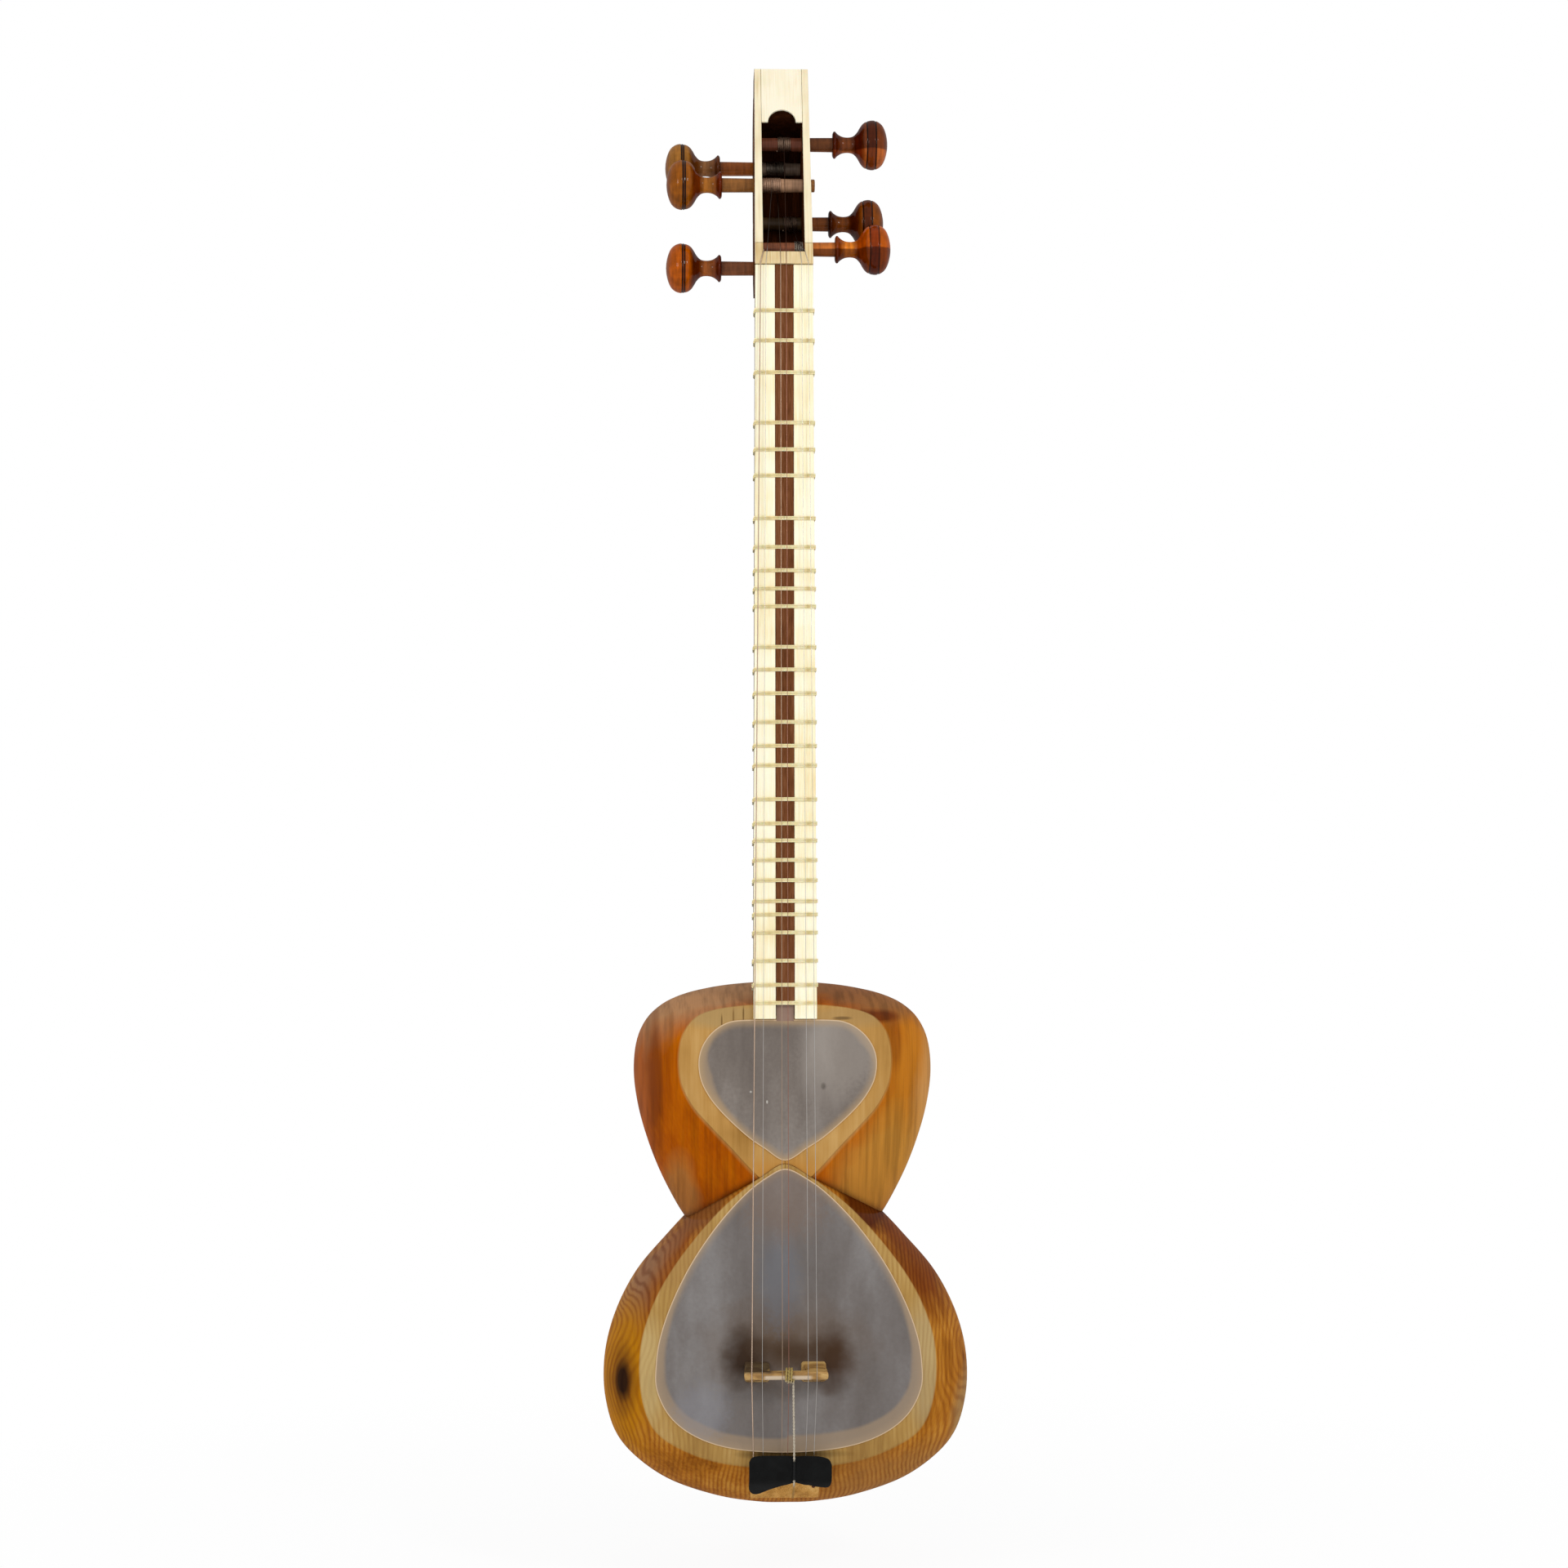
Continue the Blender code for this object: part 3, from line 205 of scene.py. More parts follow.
def ellipsoid(tree, place, centre, half):
    """Distance from a centre in half sizes, so 1 on the surface of an ellipsoid."""
    away = put(tree, "VectorMath", {0: place, 1: centre}, operation="SUBTRACT")
    away = put(tree, "VectorMath", {0: away, 1: [1 / h for h in half]}, operation="MULTIPLY")
    return put(tree, "VectorMath", {0: away}, operation="LENGTH").outputs["Value"]


def blotches(tree, place, rough, colour, marks, inner=0.6, outer=1.2):
    """Patches of other tones over a colour, with edges made ragged by a noise between 0 and 1."""
    ragged = 0.9
    for centre, half, code, strength in marks:
        reach = ellipsoid(tree, place, centre, half)
        reach = put(tree, "Math", {0: rough, 1: ragged, 2: reach}, operation="MULTIPLY_ADD")
        colour = over(tree, colour, code, [(reach, outer + ragged / 2, inner + ragged / 2)], strength)
    return colour


# %% [markdown]
# ## Mulberry
#
# The bowls are white mulberry, a ring-porous wood, carved with gouges, scraped smooth and varnished with
# shellac. The log's growth rings are nearly flat layers across the instrument, a few millimetres apart. The
# carved walls cut them as stripes at the bottom, arches at the sides and closed ovals round a knot. A sine
# of the distance across draws the layers, a soft noise bends them, and a smooth bump pushes them out at a
# knot. The front edge of the rim is scraped bare again for gluing the skin, so it is paler than the
# varnished side. Painted shade darkens the crease of the waist, where an Ambient Occlusion node finds
# little open air.

# %% Mulberry of the bowls


def growth_lines(tree, place, spacing, wander, bumps):
    """Dark lines where growth layers meet the wall, 0 to 1. Bumps are a centre, half sizes and a push."""
    across = put(tree, "SeparateXYZ", {"Vector": place}).outputs["X"]
    for size, push in ((46, wander), (9, wander * 0.14)):
        drift = grain(tree, place, size, 1.0)
        across = put(tree, "Math", {0: drift, 1: push, 2: across}, operation="MULTIPLY_ADD")
    for centre, half, push in bumps:
        inputs = {"Value": ellipsoid(tree, place, centre, half), "To Min": push, "To Max": 0.0}
        bump = put(tree, "MapRange", inputs, interpolation_type="SMOOTHSTEP")
        across = put(tree, "Math", {0: across, 1: bump}, operation="ADD")
    phase = put(tree, "Math", {0: across, 1: 2 * math.pi / spacing}, operation="MULTIPLY")
    wave = put(tree, "Math", {0: phase}, operation="SINE")
    return put(tree, "MapRange", {"Value": wave, "From Min": -0.5, "From Max": 1.0})


def mulberry(name, side_tones, rim_tones, face, contrast, drawn, figure, layers, marks, rim_marks):
    """Varnished wood with bare rims. Drawn is the strength of its fibres, figure that of its growth lines."""
    made, tree, place = new_finish(name)
    fibre = grain(tree, place, 1.8, 2.0, (1, 1, 0.06))
    streak = grain(tree, place, 8, 3.0, (1, 1, 0.12))
    broad = grain(tree, place, 34, 3.0)
    parts = ((fibre, 0.3 * contrast), (streak, 0.55 * contrast), (broad, 0.75 * contrast))
    colour = shades(tree, parts, 0.5 - 0.8 * contrast, (0.3, 0.5, 0.7), side_tones)
    colour = blotches(tree, place, broad, colour, marks)
    lines = grain(tree, place, 3.2, 4.0, (1, 0.08, 0.03))
    colour = scaled(tree, colour, lines, 0.34, 0.56, 1 - 0.28 * drawn, 1 + 0.04 * drawn)
    rim = shades(tree, ((fibre, 0.2), (streak, 0.25), (broad, 0.35)), 0.1, (0.36, 0.5, 0.64), rim_tones)
    rim = blotches(tree, place, broad, rim, rim_marks)
    depth = put(tree, "SeparateXYZ", {"Vector": place}).outputs["Y"]
    bare, varnished = face + 0.5 * MM, face + 1.4 * MM
    colour = over(tree, colour, rim, [(depth, varnished, bare)])
    inputs = {"Value": broad, "From Min": 0.35, "From Max": 0.6, "To Min": 0.45 * figure, "To Max": figure}
    seen = put(tree, "MapRange", inputs)
    seen = put(tree, "Math", {0: growth_lines(tree, place, *layers), 1: seen}, operation="MULTIPLY")
    faint = put(tree, "MapRange", {"Value": depth, "From Min": bare, "From Max": varnished, "To Min": 0.4})
    seen = put(tree, "Math", {0: seen, 1: faint}, operation="MULTIPLY")
    colour = over(tree, colour, "#a9703c", (), seen, blend="MULTIPLY")
    # Painted shade: the colour darkens where the Ambient Occlusion node finds little open air, as in the
    # waist's crease.
    open_air = put(tree, "AmbientOcclusion", {"Distance": 5 * MM}, samples=8, only_local=True).outputs["AO"]
    colour = over(tree, colour, "#351404", [(open_air, 0.95, 0.45)], 0.85)
    close_finish(tree, colour, 0.5, 0.0, (fibre, 0.12, 0.15), {"Coat Weight": 0.05, "Coat Roughness": 0.12})
    return made


UPPER_FACE = 0.9 * MM
KNOT = (-0.0975, 0.03, -0.673)
UPPER_MARKS = (
    ((0.085, 0.03, -0.5), (0.04, 0.07, 0.09), "#be7a22", 0.75),
    # Painted sheen: a pale patch on the right flank.
    ((0.096, 0.04, -0.525), (0.02, 0.05, 0.07), "#cc9a5c", 0.6),
    ((-0.09, 0.04, -0.48), (0.016, 0.05, 0.05), "#9c5830", 0.6),
    # Painted sheen: a pale beige patch on the left shoulder, where it would reflect the light.
    ((-0.06, 0.035, -0.437), (0.075, 0.045, 0.036), "#ac8660", 0.8),
    ((0.055, 0.05, -0.44), (0.065, 0.06, 0.022), "#8a5e38", 0.8),
    ((0.062, 0.03, -0.545), (0.04, 0.05, 0.04), "#c08838", 0.75),
    ((-0.0775, 0.03, -0.49), (0.004, 0.05, 0.045), "#6a2e06", 0.7),
    ((-0.062, 0.03, -0.565), (0.011, 0.05, 0.03), "#a87840", 0.6),
    ((0.05, 0.01, -0.453), (0.026, 0.02, 0.004), "#5a1e04", 0.8),
    ((0.0665, 0.015, -0.468), (0.005, 0.03, 0.02), "#7c3808", 0.5),
)
UPPER_RIM_MARKS = (
    ((-0.03, 0, -0.453), (0.034, 0.02, 0.008), "#a48c60", 0.6),
    ((0.035, 0, -0.453), (0.026, 0.02, 0.007), "#a08458", 0.5),
    ((0.0, 0, -0.552), (0.03, 0.02, 0.016), "#bb8239", 0.7),
    ((-0.025, 0, -0.451), (0.0005, 0.02, 0.005), "#5c4020", 0.7),
    ((-0.031, 0, -0.453), (0.0006, 0.02, 0.006), "#6a4a24", 0.6),
    ((-0.038, 0, -0.456), (0.0005, 0.02, 0.005), "#5c4020", 0.7),
    ((0.034, 0, -0.4535), (0.006, 0.02, 0.0011), "#5a4228", 0.7),
)
LOWER_MARKS = (
    ((-0.078, 0.02, -0.6), (0.034, 0.04, 0.046), "#8a4a1c", 0.8),
    # Painted sheen: a greyish pale patch on the left flank.
    ((-0.096, 0.035, -0.6), (0.036, 0.035, 0.05), "#947054", 0.7),
    ((0.075, 0.04, -0.735), (0.07, 0.06, 0.03), "#aa7a40", 0.6),
    ((0.078, 0.03, -0.6), (0.038, 0.06, 0.04), "#743409", 0.85),
    ((0.112, 0.05, -0.695), (0.014, 0.04, 0.024), "#a07c4c", 0.8),
    (KNOT, (0.022, 0.06, 0.055), "#b57608", 0.9),
    (KNOT, (0.009, 0.06, 0.021), "#6b3c10", 0.7),
    (KNOT, (0.005, 0.06, 0.012), "#220e04", 0.95),
    # Painted shade along the crease of the waist, darker on the right.
    ((-0.045, 0.03, -0.572), (0.03, 0.06, 0.014), "#84532c", 0.8),
    ((0.045, 0.03, -0.572), (0.03, 0.06, 0.014), "#501e06", 0.9),
)
LOWER_RIM_MARKS = (
    # Painted shadow of the pad on the rim just above it.
    ((0.003, 0, -0.7145), (0.03, 0.02, 0.0035), "#2d2010", 0.8),
    ((0.084, 0, -0.66), (0.012, 0.02, 0.04), "#b3a077", 0.5),
    ((-0.084, 0, -0.665), (0.012, 0.02, 0.035), "#c6b07c", 0.5),
    ((-0.06, 0, -0.595), (0.02, 0.02, 0.025), "#a5804c", 0.6),
)
LOWER_BUMPS = (
    (KNOT, (0.04, 0.07, 0.04), 14 * MM),
    ((-0.118, 0.05, -0.61), (0.055, 0.07, 0.036), 20 * MM),
    ((0.118, 0.05, -0.695), (0.05, 0.07, 0.042), -15 * MM),
    ((0.11, 0.04, -0.63), (0.04, 0.07, 0.025), -6 * MM),
)
MULBERRY_UPPER = mulberry(
    "mulberry_shellac_orange", ("#883a00", "#a65000", "#ba6402"), ("#9c7238", "#b4884a", "#c49c60"),
    face=UPPER_FACE, contrast=0.6, drawn=1.0, figure=0.05, layers=(1.5 * MM, 3 * MM, ()), marks=UPPER_MARKS,
    rim_marks=UPPER_RIM_MARKS,
)
MULBERRY_LOWER = mulberry(
    "mulberry_shellac_honey", ("#82480a", "#b07020", "#c68c38"), ("#8e6a38", "#ac884c", "#c0a066"),
    face=0.0, contrast=0.8, drawn=0.3, figure=0.55, layers=(2.7 * MM, 9 * MM, LOWER_BUMPS), marks=LOWER_MARKS,
    rim_marks=LOWER_RIM_MARKS,
)

# %% [markdown]
# ## Walnut
#
# Neck and head are oiled walnut, with fine dark pores along the grain. A noise stretched along the piece
# draws both the pores and the broader figure, and only the tones and the gloss differ from piece to piece.

# %% Straight-grained wood


def straight_wood(name, tones, gloss, pore):
    """Wood with its grain along Z."""
    made, tree, place = new_finish(name)
    pores = grain(tree, place, pore, 2.0, (1, 1, 0.06))
    figure = grain(tree, place, 6, 4.0, (1, 1, 0.06))
    colour = shades(tree, ((pores, 0.45), (figure, 0.5)), 0.06, (0.38, 0.54, 0.7), tones)
    coat = {"Coat Weight": 0.3 * gloss, "Coat Roughness": 0.05}
    close_finish(tree, colour, 0.5, 0.0, (pores, 0.15, 0.1), coat)
    return made


WALNUT = straight_wood("walnut_oiled", ("#2a1308", "#4d2a16", "#6b4025"), 0.15, 0.5)
WALNUT_STRIP = straight_wood("walnut_strip", ("#4c2a16", "#6e4226", "#85573a"), 0.1, 0.5)
# Painted shade: the inner faces of the slot and the peg holes take these darker tones.
SLOT_SHADED_WOOD = straight_wood("walnut_slot_painted_shade", ("#241005", "#43200d", "#643318"), 0.0, 0.5)
BLOCK_WOOD = straight_wood("mulberry_block", ("#94662c", "#c8944a", "#e0b46c"), 0.3, 0.6)

# %% [markdown]
# ## Bone, gut, horn and leather
#
# Camel bone is sawn along the shin and polished: cream, with fine pale and grey lines where blood vessels
# ran. Gut is twisted from thin bands and shines like old varnish. Ram horn is layered, honey coloured where
# thin and grey brown where thick. The pad is goat leather dyed black.

# %% Bone


def bone(name, *tones):
    """Polished bone with fine lines along Z, in a dark, a middle and a light tone."""
    made, tree, place = new_finish(name)
    lines = grain(tree, place, 0.8, 3.0, (1, 1, 0.03))
    clouds = grain(tree, place, 30, 2.0)
    colour = shades(tree, ((clouds, 0.55), (lines, 0.45)), 0.0, (0.32, 0.44, 0.56), tones)
    depth = {"Subsurface Weight": 0.08, "Subsurface Scale": 0.6 * MM}
    close_finish(tree, colour, 0.34, 0.2, (lines, 0.04, 0.1), depth)
    return made


BONE_BOARD = bone("bone_polished", "#efdba6", "#f8edc6", "#fdf6da")
BONE_PLATE = bone("bone_bleached", "#e0d0a8", "#ece1c2", "#f3ebd3")
BONE_HEAD = bone("bone_old", "#d3bf8e", "#e5d6b2", "#efe3c3")
BONE_NUT = bone("bone_worn", "#b8945c", "#d4ba88", "#e4cfa2")

# %% Gut of the frets


def gut_finish(name, *tones):
    """Twisted gut, clear as varnish where it is new and grey where fingers rub it."""
    made, tree, place = new_finish(name)
    colour = shades(tree, [(grain(tree, place, 6, 2.0), 1.0)], 0.0, (0.35, 0.52, 0.68), tones)
    inputs = {"Vector": place, "Scale": band_size(0.5), "Distortion": 1.0}
    twist = put(tree, "TexWave", inputs, bands_direction="DIAGONAL")
    depth = {"Subsurface Weight": 0.15, "Subsurface Scale": 0.5 * MM}
    close_finish(tree, colour, 0.45, 0.2, (twist, 0.05, 0.1), depth)
    return made


GUT = gut_finish("gut_twisted", "#e3d097", "#efe1ae", "#f6ecc6")
GUT_KNOT = gut_finish("gut_knot_rubbed", "#77705f", "#9a927c", "#b9b096")

# %% Horn of the bridge
BRIDGE_SPOT = -SCALE_LENGTH
HORN, tree, place = new_finish("ram_horn")
cloud = grain(tree, place, 5, 4.0, (0.35, 1, 1), {"Distortion": 0.8})
colour = shades(tree, [(cloud, 1.0)], 0.0, (0.3, 0.48, 0.68), ("#7a5a30", "#a37c46", "#c4a266"))
x, y, z = put(tree, "SeparateXYZ", {"Vector": place}).outputs
colour = over(tree, colour, "#c6b298", [
    (z, BRIDGE_SPOT + 0.6 * MM, BRIDGE_SPOT - 0.4 * MM), (x, -14 * MM, -12 * MM), (x, 16 * MM, 13.5 * MM),
    (y, -12 * MM, -13.5 * MM),
])
left_end = [(x, -7 * MM, -10 * MM), (z, BRIDGE_SPOT + 1 * MM, BRIDGE_SPOT + 2.5 * MM)]
colour = over(tree, colour, "#2f2822", left_end, 0.85)
close_finish(tree, colour, 0.4, 0.2, (cloud, 0.1, 0.3), {"Coat Weight": 0.1, "Coat Roughness": 0.1})

# %% Black leather of the pad
LEATHER, tree, place = new_finish("goat_leather_black")
pebble = put(tree, "TexVoronoi", {"Vector": place, "Scale": 1 / (0.9 * MM)})
colour = shades(tree, [(grain(tree, place, 7, 3.0), 1.0)], 0.0, (0.35, 0.7), ("#040404", "#0c0d0d"))
close_finish(tree, colour, 0.6, 0.1, (pebble, 0.3, 0.2))

# %% [markdown]
# ## Skin
#
# The faces are lamb skin, soaked, stretched over the bowls and glued to their rims. Dry, it is grey brown
# and smooth. Where it lies on the rim wood it looks paler, its cut edge is creamy, and hands and rosin have
# left a dark stain round the bridge. Each point of a skin's mesh carries its distance from the cut edge, so
# one ramp can draw the edge, the glued border and the free middle.

# %% Stretched skin


def membrane_finish(name, tones, halo_tone, stains=(), spots=()):
    """Stretched skin. Its mesh keeps edge_mm, the distance from the cut edge, and glued, 1 over the rim."""
    made, tree, place = new_finish(name)
    cloud = grain(tree, place, 34, 5.0, (1, 1, 0.35), {"Roughness": 0.55})
    mottle = grain(tree, place, 2.2, 3.0)
    colour = shades(tree, ((mottle, 0.12), (cloud, 0.88)), 0.0, (0.34, 0.5, 0.66), tones)
    glued = put(tree, "Attribute", attribute_name="glued").outputs["Fac"]
    over_wood = put(tree, "Math", {0: cloud, 1: 0.8, 2: glued}, operation="MULTIPLY_ADD")
    colour = over(tree, colour, "#948069", [(over_wood, 0.6, 1.3)], 0.75, "SMOOTHSTEP")
    edge = put(tree, "Attribute", attribute_name="edge_mm").outputs["Fac"]
    colour = over(tree, colour, halo_tone, [(edge, 6.0, 0.0)], 0.5, "SMOOTHSTEP")
    colour = blotches(tree, place, grain(tree, place, 14, 3.0), colour, stains, 0.3, 1.35)
    colour = blotches(tree, place, mottle, colour, spots, 0.5, 1.1)
    colour = over(tree, colour, "#d9bd9a", [(edge, 0.8, 0.2)], 0.9)
    close_finish(tree, colour, 0.5, 0.15, (mottle, 0.1, 0.15))
    return made


SKIN_UPPER = membrane_finish("lamb_skin_upper", ("#625953", "#736a63", "#8b837c"), "#b8986c", spots=(
    ((0.023, 0, -0.4942), (0.0018, 0.1, 0.0024), "#3f3831", 0.8),
    ((-0.0206, 0, -0.4974), (0.0008, 0.1, 0.0008), "#b8b4ac", 0.8),
    ((-0.0108, 0, -0.5036), (0.0006, 0.1, 0.0012), "#c8c3ba", 0.8),
    ((0.035, 0, -0.475), (0.03, 0.1, 0.03), "#9a9188", 0.45),
))
SKIN_LOWER = membrane_finish("lamb_skin_lower", ("#635c58", "#6f6966", "#7f7b79"), "#a28b70", spots=(
    ((-0.05, 0, -0.69), (0.02, 0.1, 0.02), "#85868e", 0.35),
    ((-0.003, 0, -0.61), (0.014, 0.1, 0.034), "#666b74", 0.45),
    ((0.0, 0, -0.56), (0.03, 0.1, 0.03), "#7a6658", 0.5),
), stains=(
    ((0.0, 0, -0.649), (0.044, 0.1, 0.026), "#5c4836", 0.75),
    ((-0.0255, 0, -0.656), (0.012, 0.1, 0.017), "#2c1b0d", 0.95),
    ((0.028, 0, -0.6585), (0.013, 0.1, 0.018), "#3a2412", 0.95),
    ((0.002, 0, -0.653), (0.03, 0.1, 0.008), "#3e2812", 0.75),
))
SKIN_TONGUE = membrane_finish("lamb_skin_over_walnut", ("#83695b", "#917769", "#9d8577"), "#9d8577")

# %% [markdown]
# ## Metals and cord
#
# The plain strings are drawn steel and brass wire, and the bass is a core wound with bronze. The windings
# of a real bass are finer than one pixel, so they are drawn 0.7 mm apart. Metals keep the default IOR, and
# their colour is the tint of their reflection.

# %% Metals


def wire(name, code, roughness, wound=0.0, shade_in_head=0.0):
    """Drawn wire, or wire wound with turns this far apart. Past the nut, painted shade darkens it by the last
    argument.
    """
    made, tree, place = new_finish(name)
    tarnish = grain(tree, place, 12, 4.0)
    rough = put(tree, "MapRange", {"Value": tarnish, "To Min": roughness * 0.8, "To Max": roughness * 1.4})
    dull = (*[c * 0.55 for c in linear(code)[:3]], 1.0)
    colour = over(tree, code, dull, [(tarnish, 0.35, 0.8)], 0.45)
    # Painted shade: the wire darkens past the nut, where it runs in the head's slot.
    if shade_in_head:
        height = put(tree, "SeparateXYZ", {"Vector": place}).outputs["Z"]
        colour = over(tree, colour, "#1c140e", [(height, 6 * MM, 12 * MM)], shade_in_head)
    relief = None
    if wound:
        turns = put(tree, "TexWave", {"Vector": place, "Scale": band_size(wound)}, bands_direction="Z")
        relief = (turns, 0.8, 0.2)
    close_finish(tree, colour, rough, 0.5, relief, {"Metallic": 1.0})
    return made


BRONZE = wire("bronze_wound", "#c2a994", 0.36, wound=0.7, shade_in_head=0.5)
BRASS = wire("brass_drawn", "#ab9480", 0.3, shade_in_head=0.85)
RED_BRASS = wire("red_brass_drawn", "#966a5a", 0.32, shade_in_head=0.85)
STEEL = wire("steel_drawn", "#b6b2ae", 0.3, shade_in_head=0.9)
RUSTY_STEEL = wire("steel_rusty", "#5e3420", 0.55)
# Tarnished metal for the turns on the pegs, made darker still as painted shade of the head's slot.
SHADED_DULL_STEEL = wire("steel_tarnished_and_shaded", "#94897c", 0.45)
SHADED_DULL_BRASS = wire("brass_tarnished", "#8a7260", 0.45)
PINK_BRASS = wire("red_brass_tarnished", "#bd9a80", 0.5)

# %% Waxed cord
CORD, tree, place = new_finish("waxed_cord")
fuzz = grain(tree, place, 0.5, 3.0)
colour = shades(tree, [(fuzz, 1.0)], 0.0, (0.35, 0.55, 0.7), ("#958b7b", "#bfb5a2", "#ddd4c0"))
height = put(tree, "SeparateXYZ", {"Vector": place}).outputs["Z"]
dyed_top, dyed_end = -716.5 * MM, -728.5 * MM
dyed = [(height, dyed_top + 1 * MM, dyed_top - 1 * MM), (height, dyed_end - 0.3 * MM, dyed_end + 0.3 * MM)]
colour = over(tree, colour, "#141414", dyed)
colour = over(tree, colour, "#a28c52", [(height, BRIDGE_SPOT - 5 * MM, BRIDGE_SPOT - 2 * MM)])
colour = over(tree, colour, "#a27c44", [(height, dyed_end - 3 * MM, dyed_end - 5 * MM)])
close_finish(tree, colour, 0.7, 0.2, (fuzz, 0.4, 0.15))

# %% [markdown]
# ## Placing a piece
#
# Each new piece joins the scene, rides on the CAD body that carries it, and stands for the CAD node whose
# place it takes.

# %% Helpers for pieces


def place_piece(obj, slot, *nodes, body="body_and_neck"):
    """Links an object that stands for these nodes and moves with a body."""
    shown.link(obj)
    bpy.context.view_layer.update()
    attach(obj, body)
    if nodes:
        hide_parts(*nodes)
    return obj


def placed(name, data, finish, matrix):
    """An object with this finish and matrix."""
    data.materials.append(finish)
    obj = bpy.data.objects.new(name, data)
    obj.matrix_world = matrix
    return obj


def mesh_piece(name, bm, finish, sharp=35, matrix=Matrix()):
    """An object from a bmesh: smooth faces, with edges sharper than an angle kept crisp."""
    bmesh.ops.recalc_face_normals(bm, faces=bm.faces[:])
    mesh = bpy.data.meshes.new(name)
    bm.to_mesh(mesh)
    bm.free()
    mesh.shade_smooth()
    mesh.set_sharp_from_angle(angle=math.radians(sharp))
    return placed(name, mesh, finish, matrix)


def strand(name, paths, diameter, finish, matrix=Matrix(), last=None):
    """Round cords along lists of points, as one curve object. Last is another finish for the last path."""
    curve = bpy.data.curves.new(name, "CURVE")
    curve.dimensions = "3D"
    curve.bevel_depth = diameter / 2
    curve.bevel_resolution = 3
    curve.use_fill_caps = True
    for path in paths:
        spline = curve.splines.new("POLY")
        spline.points.add(len(path) - 1)
        for point, spot in zip(spline.points, path):
            point.co = (*spot, 1)
    obj = placed(name, curve, finish, matrix)
    if last:
        curve.materials.append(last)
        curve.splines[-1].material_index = 1
    return obj


def soften(obj, width, segments=2):
    """Rounds every sharp edge of a piece a little, as hands and scrapers do."""
    bevel = obj.modifiers.new("softened edges", "BEVEL")
    bevel.width = width
    bevel.segments = segments
    bevel.limit_method = "ANGLE"
    bevel.angle_limit = math.radians(30)
    bevel.harden_normals = True
    return obj


def prism(outline, along):
    """A flat closed outline drawn out by one vector."""
    bm = bmesh.new()
    face = bm.faces.new([bm.verts.new(p) for p in outline])
    drawn = bmesh.ops.extrude_face_region(bm, geom=[face])
    moved = [v for v in drawn["geom"] if isinstance(v, bmesh.types.BMVert)]
    bmesh.ops.translate(bm, vec=along, verts=moved)
    return bm


def join_rows(bm, rows):
    """Faces between closed rows of points."""
    for near, far in zip(rows, rows[1:]):
        for i in range(len(near)):
            j = (i + 1) % len(near)
            bm.faces.new((near[i], near[j], far[j], far[i]))


# %% [markdown]
# ## Smooth curves
#
# A carver draws an outline through a few measured points with a bent batten. A Catmull-Rom curve does the
# same: it passes through every point, and its direction at each comes from the neighbours.

# %% Curves through measured points


def catmull(points, steps, ends=None):
    """A smooth curve through the points, in even steps. Ends are the points before and after them."""
    knots = np.array(points, float)
    before, after = ends or (2 * knots[0] - knots[1], 2 * knots[-1] - knots[-2])
    padded = np.vstack([before, knots, after])
    dense = []
    for i in range(1, len(padded) - 2):
        p0, p1, p2, p3 = padded[i - 1 : i + 3]
        for t in np.linspace(0, 1, 16, endpoint=False):
            dense.append(0.5 * (2 * p1 + (p2 - p0) * t + (2 * p0 - 5 * p1 + 4 * p2 - p3) * t**2
                                + (3 * p1 - p0 - 3 * p2 + p3) * t**3))
    dense.append(padded[-2])
    dense = np.array(dense)
    lengths = np.concatenate([[0], np.cumsum(np.linalg.norm(np.diff(dense, axis=0), axis=1))])
    wanted = np.linspace(0, lengths[-1], steps + 1)
    return np.column_stack([np.interp(wanted, lengths, dense[:, k]) for k in range(dense.shape[1])])


def closed_outline(half_points, steps):
    """A half outline and its mirror image as one loop in metres. Its heights are over the neck's end."""
    knots = np.array(half_points, float)
    mirror = (knots[1] * (-1, 1), knots[-2] * (-1, 1))
    half = catmull(knots, steps, mirror) * MM - (0, NECK_LENGTH)
    return np.vstack([half, half[1:-1][::-1] * (-1, 1)])


def skewed(loop, skew):
    """A loop made a little wider on the right and narrower on the left, as work done by eye is."""
    return loop * np.where(loop[:, :1] > 0, (1 + skew, 1), (1 - skew, 1))


# %% [markdown]
# ## The two bowls
#
# Each bowl has a flat rim in front, bulges to its widest a few fingers behind it, and closes in a round
# back. It could be sculpted, but rings of points between two outlines follow the carver's templates. The
# rim's outline grows to the widest one along a circle, then shrinks to the middle of the back along a
# quarter ellipse. A Boolean joins the bowls at the waist, another cuts the socket for the neck, and a saw
# cut down the middle gives the two halves that a maker hollows and glues.

# %% Outlines and depths of the bowls
UPPER_RIM = (
    (0, -108), (17.6, -93), (32.5, -77), (44, -65), (54.6, -53), (61.5, -40), (63.6, -27), (62.8, -15.4),
    (60, -7), (54, 0.5), (46, 4.5), (34, 7), (18, 8.5), (0, 9),
)
UPPER_WIDEST = (
    (0, -174), (25, -163), (45, -146), (57.5, -128), (65.4, -115.8), (75.6, -95.7), (83.3, -75.6),
    (88.8, -55.4), (91.3, -35.3), (89.6, -17), (84, -4), (75.2, 4.8), (64, 10.6), (50, 14.6), (30, 17.8),
    (0, 19.5),
)
LOWER_RIM = (
    (0, -267.9), (28, -266.7), (52, -261.4), (74, -250.4), (83.5, -237.8), (88, -218), (87.8, -198),
    (84.5, -182.5), (77, -164), (66, -146), (52, -128), (39, -114), (27, -103.5), (14, -94), (0, -86.5),
)
LOWER_WIDEST = (
    (0, -299.8), (17, -299.3), (42, -295.3), (71, -285.4), (92, -271.2), (104.4, -256.2), (110.5, -236.7),
    (111.7, -216.5), (108.8, -196.4), (101.8, -176.3), (90.2, -156.1), (72.8, -136), (60, -122.4),
    (45, -109), (25, -98), (0, -93),
)
